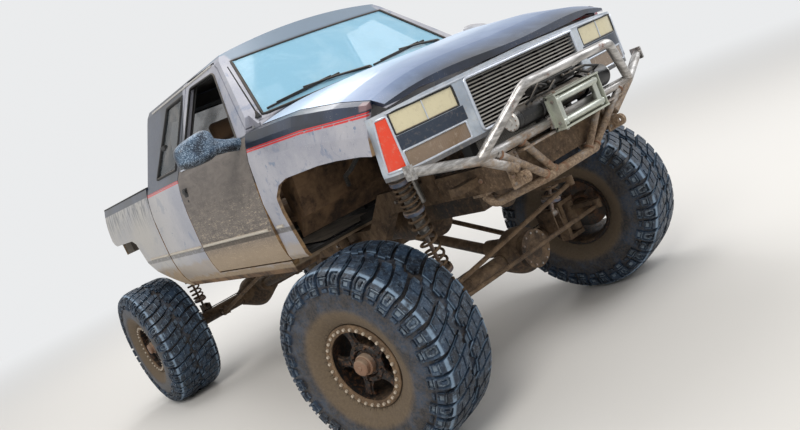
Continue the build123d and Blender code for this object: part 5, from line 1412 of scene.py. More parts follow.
class DOOR_OT_build(bpy.types.Operator):
    """Builds the doors' mirrors, handles, window rubbers and mouldings"""

    bl_idname = "pickup.doors"
    bl_label = "Door fittings"

    def execute(self, context):
        for side, name in SIDES:
            body = f"door_{name}"
            out = Vector((side, 0, 0.12)).normalized()
            shell, middle = mirror_shell(side)
            finish = "mirror_black" if side < 0 else "mirror_silver"
            foot = spot(side * 0.918, 0.600, 0.826)
            shell.tube([foot, spot(side * 0.990, 0.592, 0.842), spot(side * 1.085, 0.588, 0.868)],
                       [0.037, 0.037, 0.052], 18)
            shell.ring(
                ((-0.012, 0.036), (0.010, 0.038), (0.020, 0.030)), 28, along(foot, foot + Vector((side, 0, 0.05)))
            )
            made = shell.make(f"mirror_{name}_shell", finish, body, 40)
            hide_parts(f"mirror_{name}")
            glass = Shape().block((-0.090, 0.0, -0.054), (0.090, 0.003, 0.054),
                                  Matrix.Translation(middle + Vector((0, 0.0235, 0))), 0.001)
            glass.make(f"mirror_{name}_glass", "mirror_glass", body)
            lines = [line for line in edge_loops(body, out, 0.8) if 1.0 < span(line) < 3.2]
            lines = [line for line in lines if min(p.z for p in line) > SILL_Z + 0.80]
            trim(f"door_{name}_window_rubber", lines, 0.0075, "rubber_black", body, out, 0.0, 0.02)
            inside = Vector((-side, 0, 0))
            lines = [line for line in edge_loops(body, inside, 0.8) if min(p.z for p in line) > SILL_Z + 0.80]
            trim(f"door_{name}_inner_rubber", lines[:1], 0.006, "rubber_black", body, inside, 0.0, 0.02)
            pull, grip = Shape(), Shape()
            met = on_skin((body,), spot(side * 1.2, 1.612, 0.690), (-side, 0, 0))
            place = Matrix.Translation(met) @ Vector((side, 0, 0)).to_track_quat("X", "Z").to_matrix().to_4x4()
            pull.block((-0.008, -0.036, -0.036), (0.004, 0.036, 0.036), place, 0.003)
            grip.block((0.003, -0.030, 0.000), (0.013, 0.030, 0.028), place, 0.004)
            grip.ring(
                ((0, 0.011), (0.006, 0.011), (0.008, 0.008)), 20, place @ Matrix.Translation((0.002, 0.0, -0.055))
            )
            pull.make(f"door_{name}_handle_cup", "rubber_black", body)
            grip.make(f"door_{name}_handle", "trim_black", body)
            belt = Shape().tube(side_line((body,), side, [0.60 + 0.037 * k for k in range(29)], 0.842, 0.002), 0.006, 8)
            belt.make(f"door_{name}_belt_strip", "bright_trim", body, 50)
        return {"FINISHED"}


class CAB_OT_build(bpy.types.Operator):
    """Builds the quarter windows' rubbers and latches, the drip rails and the body mouldings"""

    bl_idname = "pickup.cab"
    bl_label = "Cab trim"

    def execute(self, context):
        rubbers, latches = Shape(), Shape()
        for side, name in SIDES:
            out = Vector((side, 0, 0.35)).normalized()
            line = edge_loops("cab_windows", out, 0.75, lambda p, s=side: p.x * s > 0.5)[0]
            rubbers.tube([p + out * 0.002 for p in even(line, 0.02)], 0.012, 10, True, out)
            met = on_skin(("cab_windows",), spot(side * 1.3, 2.042, 1.06), (-side, 0, 0))
            latches.block((-0.012, -0.050, -0.017), (0.018, 0.050, 0.017), Matrix.Translation(met), 0.005)
            row = side_line(
                ("cab", "door_right", "door_left"), side, [0.97 + 0.040 * k for k in range(34)], 1.352, 0.002
            )
            Shape().tube(row, 0.0075, 8).make(f"drip_rail_{name}", "rail_silver", smooth=50)
        rubbers.make("quarter_window_rubbers", "rubber_black", smooth=50)
        latches.make("quarter_window_latches", "trim_black")
        # Side mouldings, one for each panel that they cross
        for side, name in SIDES:
            for node, body, first, last in (
                (f"door_{name}", f"door_{name}", 0.600, 1.690), ("cab", "chassis", 1.745, 2.440),
                ("bed", "chassis", 2.510, 2.980), (f"fender_{name}", "chassis", 0.420, 0.500),
            ):
                count = max(3, int((last - first) / 0.05))
                stations = [first + (last - first) * k / count for k in range(count + 1)]
                strip = Shape().tube(side_line((node,), side, stations, 0.305, -0.002, 0.88), 0.011, 8)
                strip.make(f"side_moulding_{node}_{name}", "moulding_tan", body, 50)
        return {"FINISHED"}


# SEATS AND CABIN


STUFFING_PRESSURE = 4.0
STUFFING_FRAMES = 20
STUFFING_LIMIT = 0.024


def stuffed(name, shape, seams, finish):
    """A cushion: an even skin over a slightly small form, blown up by a cloth run and sewn at its seams."""
    scene = bpy.context.scene
    rough = added(name + "_form", mesh_of(name, shape.points, shape.faces))
    even_skin = rough.modifiers.new("even", "REMESH")
    even_skin.mode = "VOXEL"
    even_skin.voxel_size = scene.pickup_sizes.cushion_grain
    skin = plain(rough)
    bpy.data.objects.remove(rough)
    pad = added(name, skin)
    cloth = pad.modifiers.new("stuffing", "CLOTH")
    cloth.settings.quality = 4
    cloth.settings.use_pressure = True
    cloth.settings.uniform_pressure_force = STUFFING_PRESSURE
    cloth.settings.effector_weights.gravity = 0.0
    cloth.point_cache.frame_start = 1
    cloth.point_cache.frame_end = STUFFING_FRAMES
    for moment in range(1, STUFFING_FRAMES + 1):
        scene.frame_set(moment)
    blown = plain(pad)
    for old, new in zip(skin.vertices, blown.vertices):
        moved = new.co - old.co
        if moved.length > STUFFING_LIMIT:
            new.co = old.co + moved.normalized() * STUFFING_LIMIT
    pad.modifiers.remove(cloth)
    pad.data = blown
    scene.frame_set(1)
    round_off = pad.modifiers.new("round", "SUBSURF")
    round_off.levels = 1
    round_off.render_levels = 1
    final = plain(pad)
    bpy.data.objects.remove(pad)
    final.name = name
    final.materials.clear()
    final.materials.append(MATERIALS[finish])
    normals = [v.normal.copy() for v in final.vertices]
    for vertex, normal in zip(final.vertices, normals):
        depth = 0.0
        for point, way, wide, deep in seams:
            gap = abs((vertex.co - point).dot(way))
            depth = max(depth, deep * math.exp(-(gap / wide) ** 2))
        vertex.co -= normal * depth
    final.shade_smooth()
    thing = added(name, final)
    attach(thing, "chassis")
    return thing


def seat_form(width, length, thick, move, bolster=0.02):
    """A cushion's form: a soft slab with raised sides. Its X is across, Y along and Z through."""
    shape = Shape()
    shape.block((-width / 2, 0, 0), (width / 2, length, thick), move, min(0.045, thick * 0.4))
    for side in (-1, 1):
        low, high = sorted((side * (width / 2 - 0.075), side * (width / 2 + 0.004)))
        shape.block((low, 0.02, 0.01), (high, length - 0.02, thick + bolster), move, 0.032)
    return shape


class SEAT_OT_build(bpy.types.Operator):
    """Builds the cloth seats as stuffed cushions on their frames"""

    bl_idname = "pickup.seats"
    bl_label = "Seats"

    def execute(self, context):
        made = []
        rows = []
        for side, name in SIDES:
            x = side * 0.400
            rows.append((f"seat_{name}_cushion", 0.45, 0.48, 0.125, spot(x, 1.200, 0.195), 4.0, 0.022))
            rows.append((f"seat_{name}_back", 0.43, 0.57, 0.10, spot(x, 1.655, 0.335), 76.0, 0.028))
            rows.append((f"seat_{name}_headrest", 0.25, 0.15, 0.085, spot(x, 1.795, 0.925), 78.0, 0.0))
        rows.append(("bench_cushion", 1.06, 0.27, 0.13, spot(0, 2.085, 0.195), 3.0, 0.0))
        rows.append(("bench_back", 1.04, 0.40, 0.085, spot(0, 2.365, 0.345), 84.0, 0.0))
        for name, width, length, thick, foot, lean, bolster in rows:
            move = Matrix.Translation(foot) @ Matrix.Rotation(math.radians(lean), 4, "X")
            turned = move.to_3x3()
            sideways = turned @ Vector((1, 0, 0))
            lengthways = turned @ Vector((0, 1, 0))
            seams = []
            if bolster:
                seams = [(move @ Vector((s * (width / 2 - 0.085), 0, 0)), sideways, 0.006, 0.008) for s in (-1, 1)]
                seams += [(move @ Vector((0, length * k / 4, 0)), lengthways, 0.005, 0.005) for k in (1, 2, 3)]
            elif width > 0.5:
                seams = [(move @ Vector((s * width / 6, 0, 0)), sideways, 0.006, 0.007) for s in (-1, 1)]
            made.append(stuffed(name, seat_form(width, length, thick, move, bolster or 0.002), seams, "seat_cloth"))
        for thing in made:
            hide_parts("seats")
        base = Shape()
        for side in (-1, 1):
            x = side * 0.400
            for rail in (-0.17, 0.17):
                base.box((x + rail - 0.02, x + rail + 0.02), (1.20, 1.66), (0.0805, 0.115), 0.004)
                base.box((x + rail - 0.012, x + rail + 0.012), (1.24, 1.62), (0.110, 0.200), 0.004)
            for rail in (-0.06, 0.06):
                base.tube([spot(x + rail, 1.785, 0.86), spot(x + rail, 1.800, 0.97)], 0.006, 10)
            base.box((x + side * 0.235, x + side * 0.250), (1.60, 1.70), (0.19, 0.30), 0.006)
        base.box((-0.53, 0.53), (2.10, 2.34), (0.0805, 0.20), 0.01)
        base.make("seat_frames", "trim_black")
        return {"FINISHED"}


class CABIN_OT_build(bpy.types.Operator):
    """Builds the dashboard's fittings, the wheel, the levers, the mats and the door cards"""

    bl_idname = "pickup.cabin"
    bl_label = "Cabin"

    def execute(self, context):
        dash = Shape()
        dash.box((0.235, 0.565), (0.715, 0.800), (0.775, 0.895), 0.022)
        dash.box((-0.13, 0.13), (0.735, 0.790), (0.585, 0.815), 0.014)
        dash.box((-0.68, -0.24), (0.745, 0.775), (0.600, 0.735), 0.012)
        dash.make("dash_panels", "dash_plastic")
        dark = Shape()
        dark.box((0.255, 0.545), (0.797, 0.803), (0.795, 0.878), 0.002)
        dark.box((-0.095, 0.095), (0.788, 0.794), (0.705, 0.765), 0.002)
        dark.box((-0.095, 0.095), (0.788, 0.794), (0.625, 0.685), 0.002)
        for x in (-0.60, -0.20, 0.18, 0.62):
            dark.box((x - 0.05, x + 0.05), (0.792, 0.806), (0.790, 0.830), 0.003)
        for x in (0.33, 0.40, 0.47):
            dark.ring(
                ((0, 0.028), (0.004, 0.030), (0.007, 0.026)), 28, along(spot(x, 0.802, 0.838), spot(x, 0.900, 0.850))
            )
        for x in (-0.06, 0.0, 0.06):
            dark.ring(
                ((0, 0.014), (0.016, 0.012), (0.018, 0.009)), 20, along(spot(x, 0.792, 0.655), spot(x, 0.892, 0.655))
            )
        dark.tube(
            [spot(-0.02, 1.05, 0.08), spot(-0.03, 1.03, 0.30), spot(-0.03, 1.08, 0.42)], [0.011, 0.009, 0.008], 12
        )
        dark.tube([spot(0.10, 1.10, 0.08), spot(0.11, 1.08, 0.24), spot(0.11, 1.11, 0.34)], [0.010, 0.008, 0.008], 12)
        knob = [
            (-0.026 * math.cos(turn), max(0.002, 0.026 * math.sin(turn)))
            for turn in [math.pi * k / 10 for k in range(11)]
        ]
        for point in (spot(-0.03, 1.085, 0.435), spot(0.11, 1.115, 0.355)):
            dark.ring(knob, 20, Matrix.Translation(point))
        for x, wide in ((0.30, 0.045), (0.44, 0.035), (0.53, 0.030)):
            dark.box((x - wide, x + wide), (0.640, 0.655), (0.205, 0.275), 0.004)
            dark.tube([spot(x, 0.645, 0.26), spot(x, 0.610, 0.44)], 0.007, 8)
        dark.make("controls", "wheel_plastic")
        wheel = Shape()
        low, high = (Vector(v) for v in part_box("steering_wheel"))
        middle = (low + high) / 2
        tilt = Vector((0, 260, 100)).normalized()
        place = along(middle, middle + tilt)
        wheel.ring([(x, 0.190 + r) for x, r in circle(14, 0.0148)], 72, place, closed=True)
        wheel.ring(((-0.030, 0.020), (-0.030, 0.045), (0.014, 0.060), (0.028, 0.058), (0.034, 0.040), (0.034, 0.010)),
                   40, place)
        for turn in (90, 210, 330):
            spoke = place @ Matrix.Rotation(math.radians(turn), 4, "X")
            wheel.block((-0.004, -0.020, 0.045), (0.012, 0.020, 0.184), spoke, 0.006)
        made = wheel.make("steering_wheel_rim", "wheel_plastic", smooth=40)
        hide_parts("steering_wheel")
        mats = Shape()
        for side in (-1, 1):
            mats.box((side * 0.42 - 0.24, side * 0.42 + 0.24), (0.62, 1.17), (0.0802, 0.092), 0.004)
            mats.box((side * 0.42 - 0.24, side * 0.42 + 0.24), (1.72, 2.06), (0.0802, 0.092), 0.004)
        mats.make("floor_mats", "mat_rubber")
        for side, name in SIDES:
            body = f"door_{name}"
            card = Shape()
            x = on_skin((body,), spot(side * 0.5, 1.10, 0.50), (side, 0, 0)).x
            near = x - side * 0.014
            card.box((near, x), (0.70, 1.64), (0.20, 0.78), 0.006)
            card.box((near - side * 0.030, near), (1.05, 1.45), (0.52, 0.56), 0.008)
            card.box((near - side * 0.030, near), (0.80, 1.40), (0.24, 0.33), 0.008)
            knob = spot(near, 1.02, 0.44)
            card.ring(((0, 0.020), (0.010, 0.018), (0.012, 0.012)), 20, along(knob, knob - Vector((side, 0, 0))))
            card.tube([knob - Vector((side * 0.010, 0, 0)), knob - Vector((side * 0.022, -0.06, -0.05))], 0.006, 8)
            card.make(f"door_{name}_card", "dash_plastic", body)
        return {"FINISHED"}


# LOAD BED

BED_FRONT, BED_REAR, BED_TOP, BED_FLOOR = 2.490, 3.890, 0.852, 0.400


class BED_OT_build(bpy.types.Operator):
    """Builds the bed's ribs and rail caps, the tailgate's pressing and handle, and the tail lamps' frames"""

    bl_idname = "pickup.bed"
    bl_label = "Bed and tailgate"

    def execute(self, context):
        reach = (BED_FRONT + 0.035, BED_REAR - 0.02)
        rib = Shape().box((-0.596, -0.560), reach, (BED_FLOOR - 0.001, BED_FLOOR + 0.007), 0.003)
        stacked("bed_floor_ribs", rib, 14, (0.0889, 0, 0), "bed_paint", "chassis")
        rib = Shape().box((-0.82, -0.70), (BED_FRONT + 0.023, BED_FRONT + 0.030), (0.46, 0.80), 0.003)
        stacked("bed_front_panels", rib, 9, (0.190, 0, 0), "bed_paint", "chassis")
        caps = Shape()
        for side in (-1, 1):
            caps.box(
                (side * 0.834, side * 0.916), (BED_FRONT + 0.004, BED_REAR - 0.004),
                (BED_TOP - 0.004, BED_TOP + 0.009), 0.006,
            )
        caps.make("bed_rail_caps", "rubber_black")
        gate = Shape()
        face_y = BED_REAR + 0.047
        gate.box((-0.60, 0.60), (face_y - 0.004, face_y + 0.006), (0.500, 0.730), 0.008)
        gate.make("tailgate_pressing", "bed_paint", "tailgate")
        cup = Shape()
        cup.box((-0.085, 0.085), (face_y - 0.002, face_y + 0.0065), (0.755, 0.822), 0.006)
        cup.make("tailgate_handle_cup", "rubber_black", "tailgate")
        grip = Shape().box((-0.066, 0.066), (face_y + 0.0055, face_y + 0.014), (0.776, 0.812), 0.005)
        grip.make("tailgate_handle", "trim_black", "tailgate")
        rows = [(spot(x, face_y + 0.001, z), (0, 1, 0)) for x in (-0.74, 0.74) for z in (0.46, 0.80)]
        fasteners("tailgate_bolts", rows, 0.007, 0.004, "bolt_steel", "tailgate")
        lines = edge_loops("tail_lamps", (0, 1, 0), 0.6)
        trim("tail_lamp_gaskets", lines, 0.005, "rubber_black", "chassis", (0, 1, 0), 0.0005, 0.02)
        clear = Shape()
        for side in (-1, 1):
            clear.box((side * 0.812, side * 0.892), (BED_REAR + 0.039, BED_REAR + 0.0425), (0.662, 0.716), 0.0012)
        clear.make("reversing_lamps", "clear_lens")
        return {"FINISHED"}


# CHASSIS


class BUMPER_OT_build(bpy.types.Operator):
    """Builds the bumper's welds and mounting bolts"""

    bl_idname = "pickup.bumper"
    bl_label = "Bumper welds"

    def execute(self, context):
        beads = Shape()
        bolts = []
        for side in (-1, 1):
            rows = (
                ((side * 0.330, -0.902, 0.296), (side * 0.130, -0.860, 0.060), 0.0192),
                ((side * 0.500, -0.908, 0.290), (side * 0.190, -0.860, 0.062), 0.0192),
            )
            for a, b, radius in rows:
                a, b = spot(*a), spot(*b)
                aim = (b - a).normalized()
                for start, towards in ((a + aim * 0.024, b), (b - aim * 0.026, a)):
                    profile = [(x, radius + 0.001 + r) for x, r in circle(8, 0.006)]
                    beads.ring(profile, 28, along(start, towards), closed=True)
            bolts += [
                (spot(side * x, -0.8705, z), (0, -1, 0)) for x in (0.356, 0.424) for z in (0.115, 0.150, 0.225, 0.245)
            ]
        beads.make("bumper_welds", "weld_bead", smooth=60)
        fasteners("bumper_bolts", bolts, 0.009, 0.007, "bolt_steel", "chassis")
        return {"FINISHED"}


class CHASSIS_OT_build(bpy.types.Operator):
    """Builds the chassis hardware: link bolts, axle covers' bolts, calipers, lines and hoses, the engine's pulleys and
    manifolds, and the radiator
    """

    bl_idname = "pickup.chassis"
    bl_label = "Chassis hardware"

    def execute(self, context):
        bolts = []
        for side in (-1, 1):
            for x, y, z in ((0.430, 0.110, -0.475), (0.390, 1.050, -0.150), (0.430, WHEELBASE - 0.120, -0.475),
                            (0.390, WHEELBASE - 1.260, -0.150)):
                bolts += [(spot(side * x + way * 0.031, y, z), (way, 0, 0)) for way in (-1, 1)]
            for station in (-0.62, 0.06, 0.90, 1.70, 2.50, 3.15, 3.70):
                z = 0.165 if station < 0.2 else (-0.035 if station < 2.6 else 0.185)
                bolts += [(spot(side * 0.4215, station + gap, z), (side, 0, 0)) for gap in (-0.03, 0.03)]
        fasteners("link_and_frame_bolts", bolts, 0.0125, 0.012, "bolt_steel", "chassis")
        covers = [(Vector((x, REAR_AXLE_Y + 0.162, AXLE_Z + z)), (0, 1, 0)) for x, z in circle(12, 0.112)]
        ring = [line for line in edge_loops("front_axle", (0, -1, 0), 0.95) if 0.5 < span(line) < 0.9][0]
        middle = sum(ring, Vector()) / len(ring)
        covers += [(middle + Vector((x, -0.001, z)), (0, -1, 0)) for x, z in circle(12, 0.100)]
        fasteners("axle_cover_bolts", covers, 0.0085, 0.008, "bolt_steel", "chassis")
        hoses = Shape()
        for side in (-1, 1):
            for axle_y in (FRONT_AXLE_Y, REAR_AXLE_Y):
                reach = 0.62 if axle_y == FRONT_AXLE_Y else 0.84
                row = [(0.18 + (reach - 0.18) * k / 8, 0.030 + 0.004 * math.sin(k * 2.1)) for k in range(9)]
                hoses.tube([(side * x, axle_y + back, AXLE_Z + 0.062) for x, back in row], 0.0045, 8)
            # Lines clipped along the rails
            hoses.tube(
                [spot(side * 0.352, 0.50 + 0.1 * k, 0.012 + 0.003 * math.sin(k * 1.7)) for k in range(20)], 0.006, 8
            )
            # Loom and hoses on the inner wall of the wheel well
            row = [(0.560 + 0.03 * math.sin(k * 0.7), 0.560 + 0.045 * math.cos(k * 0.9)) for k in range(12)]
            hoses.tube([spot(side * x, -0.56 + 0.085 * k, z) for k, (x, z) in enumerate(row)], 0.010, 10)
            hoses.tube(
                [
                    spot(side * 0.600, -0.20, 0.60), spot(side * 0.650, -0.12, 0.52), spot(side * 0.655, 0.02, 0.45),
                    spot(side * 0.620, 0.16, 0.42), spot(side * 0.560, 0.26, 0.36),
                ],
                0.013,
                12,
            )
        hoses.make("lines_and_hoses", "hose_rubber", smooth=60)
        calipers = {}
        for name, (side, axle_y, steer) in WHEELS.items():
            body = "chassis" if "rear" in name else "knuckle_" + ("right" if side < 0 else "left")
            place = wheel_matrix(side, axle_y, steer)
            shape = calipers.setdefault(body, Shape())
            grip = place @ Matrix.Rotation(
                math.radians(62 if side * (1 if "front" in name else -1) > 0 else -62), 4, "X"
            )
            shape.block((-0.052, -0.075, 0.118), (0.012, 0.075, 0.172), grip, 0.012)
            shape.block((-0.046, -0.048, 0.066), (-0.022, 0.048, 0.125), grip, 0.008)
            for across in (-0.032, 0.032):
                start = grip @ Vector((-0.075, across, 0.142))
                shape.ring(
                    ((0, 0.012), (0.004, 0.021), (0.026, 0.021)), 20, along(start, grip @ Vector((0, across, 0.142)))
                )
        for body, shape in calipers.items():
            shape.make(f"calipers_{body}", "brake_iron", body)
        engine = Shape()
        for side in (-1, 1):
            for k in range(4):
                y = -0.20 + 0.115 * k
                engine.tube(
                    [
                        spot(side * 0.245, y, 0.30),
                        spot(side * 0.300, y + 0.01, 0.27),
                        spot(side * 0.320, y + 0.05, 0.20),
                    ],
                    0.019,
                    12,
                )
            engine.tube([spot(side * 0.318, -0.18 + 0.06 * k, 0.195 - 0.004 * k) for k in range(9)], 0.026, 14)
            engine.box((side * 0.215 - 0.055, side * 0.215 + 0.055), (-0.245, 0.300), (0.348, 0.372), 0.010)
        for radius, x, z in ((0.085, 0.0, -0.02), (0.060, 0.16, 0.16), (0.055, -0.17, 0.18), (0.05, 0.0, 0.20)):
            engine.ring(
                (
                    (0, radius * 0.4), (0, radius), (0.006, radius - 0.008), (0.014, radius - 0.008), (0.020, radius),
                    (0.020, radius * 0.4),
                ),
                36,
                along(spot(x, -0.300, z), spot(x, -0.400, z)),
                closed=True,
            )
        engine.make("engine_pulleys_and_manifolds", "engine_iron")
        cooler = Shape()
        cooler.box((-0.36, 0.36), (-0.640, -0.590), (0.250, 0.620), 0.008)
        for x in (-0.38, 0.38):
            cooler.box((x - 0.022, x + 0.022), (-0.650, -0.580), (0.235, 0.635), 0.008)
        cooler.make("radiator", "grille_black")
        fins = Shape().box((-0.350, 0.350), (-0.6435, -0.640), (0.256, 0.2595))
        stacked("radiator_fins", fins, 60, (0, 0, 0.0060), "cast_silver", "chassis")
        return {"FINISHED"}


# FINISHES OF THE CAD PIECES

# What each kind of finish is given, in the order of its maker's values
FINISHES = (
    (body_paint, {
        "fender_paint": (0.22, 0.45),
        "door_paint": (0.30, 0.6, 1.0),
        "cab_paint": (0.16, 0.6),
        # The hood's last value is the strength of its painted sky reflection
        "hood_paint": (0.10, 0.1, 0.0, 0.95),
        "bed_paint": (0.30, 0.5),
    }),
    (header_paint, {
        "header_silver": (),
    }),
    (bare_tube, {
        "bumper_steel": (),
    }),
    (rough_steel, {
        "zinc_plate": (0.10, 0.35, 0.70, 0.45, (0.98, 1.0, 0.93)),
        "roller_steel": (0.10, 0.20, 0.72, 0.9, (0.98, 1.0, 0.95)),
        "cast_silver": (0.05, 0.25, 0.76, 0.5),
        "wire_rope": (0.25, 0.4, 0.50, 0.8),
        "shock_steel": (0.2, 0.6, 0.5, 0.6),
        "collar_blue": (0.35, 0.75, 0.40, 0.4, (0.85, 0.97, 1.15)),
        "bright_trim": (0.02, 0.30, 0.80, 0.75, (0.97, 1.0, 1.05)),
        "rail_silver": (0.02, 0.35, 0.72, 0.35),
        "slat_silver": (0.02, 0.35, 0.66, 0.45),
        "mirror_glass": (0.0, 0.15, 0.80, 1.0),
        "moulding_tan": (0.0, 0.55, 0.74, 0.1, (1.0, 0.96, 0.89)),
        "bolt_steel": (0.35, 0.7, 0.55, 0.6),
        "bolt_tan": (0.10, 0.55, 0.70, 0.35, (1.0, 0.93, 0.84)),
        "bronze_hub": (0.5, 0.6, 0.55, 0.7),
        "brake_iron": (0.35, 0.4, 0.26, 0.6),
        "weld_bead": (0.75, 0.3, 0.42, 0.5),
    }),
    (chassis_black, {
        "coil_paint": (0.80, (0.17, 0.15, 0.13)),
        "dusty_ring": (0.95, (0.30, 0.245, 0.19)),
        "rim_black": (0.10, (0.045, 0.045, 0.048)),
        "frame_mud": (0.75,),
        "engine_iron": (0.45,),
        "driveline_steel": (0.55,),
        "axle_iron": (0.65,),
        "link_steel": (0.85, (0.24, 0.21, 0.18)),
    }),
    (moulded_plastic, {
        "grille_black": ((0.025, 0.025, 0.03), 0.05, 0.6),
        "rubber_black": ((0.055, 0.055, 0.06), 0.22, 0.65),
        "winch_black": ((0.05, 0.05, 0.055), 0.25, 0.35),
        "tank_plastic": ((0.06, 0.06, 0.06), 0.6, 0.6),
        "dash_plastic": ((0.14, 0.135, 0.13), 0.35, 0.65),
        "wheel_plastic": ((0.07, 0.07, 0.075), 0.2, 0.5),
        "mirror_silver": ((0.66, 0.67, 0.70), 0.3, 0.35),
        "mat_rubber": ((0.09, 0.085, 0.08), 0.7, 0.8),
        "hose_rubber": ((0.08, 0.075, 0.07), 0.75, 0.75),
        "trim_black": ((0.05, 0.05, 0.055), 0.35, 0.55),
    }),
    (speckled_shell, {
        "mirror_black": (),
    }),
    (lamp_lens, {
        "clear_lens": ((0.80, 0.79, 0.76), 0.9),
        "headlamp_lens": ((0.90, 0.86, 0.72), 0.75),
        "turn_lens": ((0.50, 0.42, 0.34), 0.95),
        "amber_lens": ((0.86, 0.22, 0.03), 0.97),
        "red_lens": ((0.60, 0.05, 0.05), 0.92),
    }),
    (window_glass, {
        # The windshield's tint is painted pale bright blue, a painted reflection of the sky
        "windshield_glass": ((0.62, 0.83, 0.93), 0.52, 0.25),
        "side_glass": ((0.20, 0.23, 0.25), 0.50, 0.35),
    }),
    (tyre_rubber, {
        "tyre_rubber": (),
    }),
    (woven_cloth, {
        "seat_cloth": ((0.42, 0.31, 0.21),),
    }),
)

# The CAD pieces that each finish covers
NODE_FINISHES = {
    "frame_mud": "frame crossmembers",
    "bumper_steel": "bumper_bar bumper_hoop bumper_lower rear_bumper",
    "winch_black": "winch",
    "zinc_plate": "fairlead",
    "engine_iron": "engine",
    "driveline_steel": "driveline",
    "axle_iron": "front_axle rear_axle steering_box knuckle_right knuckle_left pitman_arm",
    "link_steel": "suspension_links tie_rod drag_link",
    "shock_steel": "shocks",
    "coil_paint": "springs",
    "tank_plastic": "fuel_tank",
    "cab_paint": "cab",
    "windshield_glass": "windshield",
    "side_glass": "cab_windows",
    "fender_paint": "fender_right fender_left",
    "header_silver": "header_panel",
    "headlamp_lens": "headlamps",
    "turn_lens": "turn_lamps",
    "amber_lens": "side_markers",
    "slat_silver": "grille",
    "bed_paint": "bed tailgate",
    "red_lens": "tail_lamps",
    "seat_cloth": "seats",
    "dash_plastic": "dashboard",
    "wheel_plastic": "steering_wheel",
    "hood_paint": "hood",
    "door_paint": "door_right door_left",
    "mirror_black": "mirror_right",
    "mirror_silver": "mirror_left",
}


class FINISH_OT_apply(bpy.types.Operator):
    """Makes the finishes and gives each CAD piece its own"""

    bl_idname = "pickup.finishes"
    bl_label = "Finishes"

    def execute(self, context):
        for maker, rows in FINISHES:
            for name, values in rows.items():
                MATERIALS[name] = maker(name, *values)
        for finish, nodes in NODE_FINISHES.items():
            for node in nodes.split():
                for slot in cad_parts[node].material_slots:
                    slot.material = MATERIALS[finish]
        return {"FINISHED"}


# STAGE


def area_lamp(name, place, aim, size, power, colour=(1, 1, 1)):
    light = bpy.data.lights.new(name, "AREA")
    light.shape = "DISK"
    light.size = size
    light.energy = power
    light.color = colour
    lamp = added(name, light)
    lamp.location = place
    lamp.rotation_euler = (Vector(aim) - Vector(place)).to_track_quat("-Z", "Y").to_euler()
    return lamp


class STAGE_OT_build(bpy.types.Operator):
    """Sets the floor, the studio light and the camera"""

    bl_idname = "pickup.stage"
    bl_label = "Stage"

    def execute(self, context):
        scene = context.scene
        colours = scene.pickup_colours
        scene.view_settings.view_transform = "Standard"
        camera = bpy.data.cameras.new("camera")
        camera.lens = 33.175
        camera.sensor_width = 36
        camera.clip_end = 200
        eye = added("camera", camera)
        turned = Matrix(((0.72323, 0.40885, -0.55657), (-0.56128, -0.12157, -0.81865), (-0.40237, 0.90447, 0.14156)))
        eye.matrix_world = Matrix.Translation((-2.776, -4.885, 1.7007)) @ turned.to_4x4()
        scene.camera = eye
        # Pale floor, seen as one tone to the horizon
        mesh = mesh_of("floor", [(-60, -60, 0), (60, -60, 0), (60, 60, 0), (-60, 60, 0)], [(0, 1, 2, 3)])
        floor = added("floor", mesh)
        finish = Finish("floor", roughness=0.9, specular_ior_level=0.2, base_color=tuple(colours.floor) + (1.0,))
        sky = tuple(colours.sky) + (1.0,)
        away = finish.node("ShaderNodeVectorMath", {"operation": "LENGTH"}, {0: finish.place}, 1).rise(5.0, 14.0)
        glow = finish.node("ShaderNodeEmission", {}, {"Color": sky, "Strength": BACKDROP})
        near = Reading(finish, finish.shader.outputs[0])
        blend = finish.node("ShaderNodeMixShader", {}, {0: away, 1: near, 2: glow})
        finish.tree.links.new(blend.socket, finish.output.inputs[0])
        mesh.materials.append(finish.material)
        world = bpy.data.worlds.new("studio")
        world.use_nodes = True
        scene.world = world
        background = world.node_tree.nodes["Background"]
        background.inputs[0].default_value = sky
        wires = Wiring(world.node_tree)
        camera, glossy, through = [
            wires.node("ShaderNodeLightPath", {}, {}, f"Is {kind} Ray") for kind in ("Camera", "Glossy", "Transmission")
        ]
        level = camera.at_least(glossy).at_least(through).rise(0.0, 1.0, LAMP_SKY, BACKDROP, soft=False)
        wires.tree.links.new(level.socket, background.inputs[1])
        area_lamp("key_light", (-5.5, -6.0, 8.0), (0, -0.5, 1.0), 4.5, 500, (1.0, 0.97, 0.92))
        area_lamp("fill_light", (6.0, -5.0, 5.0), (0, 0, 1.0), 5.0, 220, (0.95, 0.97, 1.0))
        area_lamp("top_light", (0.0, 2.0, 9.0), (0, 0.5, 1.0), 6.0, 300)
        area_lamp("rear_light", (4.5, 8.0, 6.0), (0, 1.0, 1.0), 4.0, 240)
        return {"FINISHED"}


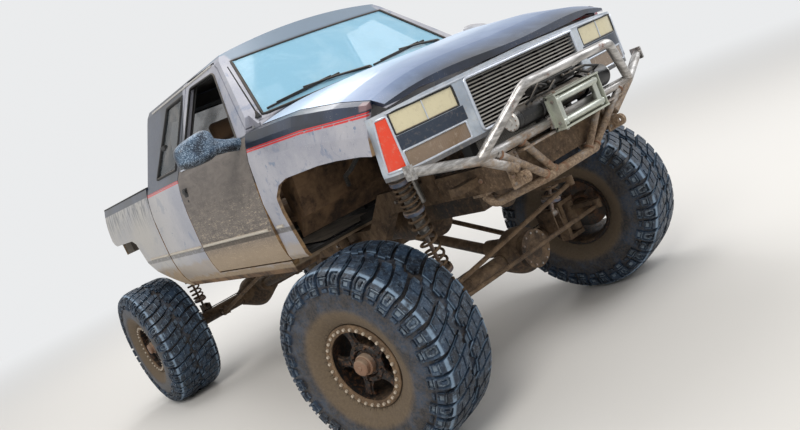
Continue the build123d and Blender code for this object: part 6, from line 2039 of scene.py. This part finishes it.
class PickupSizes(bpy.types.PropertyGroup):
    """Counts and sizes of what the scene adds"""

    lug_pitches: IntProperty(
        name="Lug pitches", description="Pairs of long and short lugs round each side", default=20, min=8
    )
    cushion_grain: FloatProperty(
        name="Cushion grain", description="Edge length of a cushion's mesh before it is rounded", default=0.016,
        min=0.006, subtype="DISTANCE", unit="LENGTH",
    )
    grille_slats: IntProperty(name="Grille slats", description="Slats across the grille", default=14, min=4)
    beadlock_bolts: IntProperty(name="Beadlock bolts", description="Bolts round each lock ring", default=32, min=8)


class PickupColours(bpy.types.PropertyGroup):
    """Colours of the stage"""

    floor: FloatVectorProperty(
        name="Floor", description="Colour of the floor", subtype="COLOR", default=(0.70, 0.68, 0.65)
    )
    sky: FloatVectorProperty(
        name="Backdrop", description="Colour of the backdrop", subtype="COLOR", default=(0.90, 0.91, 0.92)
    )


class PICKUP_PT_panel(bpy.types.Panel):
    """Lists the truck's builders"""

    bl_idname = "PICKUP_PT_panel"
    bl_label = "Pickup"
    bl_space_type = "VIEW_3D"
    bl_region_type = "UI"
    bl_category = "Pickup"

    def draw(self, context):
        column = self.layout.column()
        for builder in BUILDERS:
            column.operator(builder.bl_idname)
        for group, names in (
            (context.scene.pickup_sizes, ("lug_pitches", "beadlock_bolts", "grille_slats", "cushion_grain")),
            (context.scene.pickup_colours, ("floor", "sky")),
        ):
            for name in names:
                column.prop(group, name)


BUILDERS = (
    STAGE_OT_build, FINISH_OT_apply, TYRE_OT_build, RIM_OT_build, COILOVER_OT_build, NOSE_OT_build, WINCH_OT_build,
    SCREEN_OT_build, DOOR_OT_build, CAB_OT_build, SEAT_OT_build, CABIN_OT_build, BED_OT_build, BUMPER_OT_build,
    CHASSIS_OT_build,
)
GROUPS = (PickupSizes, PickupColours)


def register():
    for item in GROUPS + BUILDERS + (PICKUP_PT_panel,):
        bpy.utils.register_class(item)
    bpy.types.Scene.pickup_sizes = PointerProperty(type=PickupSizes)
    bpy.types.Scene.pickup_colours = PointerProperty(type=PickupColours)


def unregister():
    del bpy.types.Scene.pickup_colours
    del bpy.types.Scene.pickup_sizes
    for item in reversed(GROUPS + BUILDERS + (PICKUP_PT_panel,)):
        bpy.utils.unregister_class(item)


def main():
    register()
    TREES["ring"] = ring_tree()
    TREES["scatter"] = scatter_tree()
    TREES["stack"] = stack_tree()
    for builder in BUILDERS:
        group, name = builder.bl_idname.split(".")
        getattr(getattr(bpy.ops, group), name)()


if __name__ == "__main__":
    main()
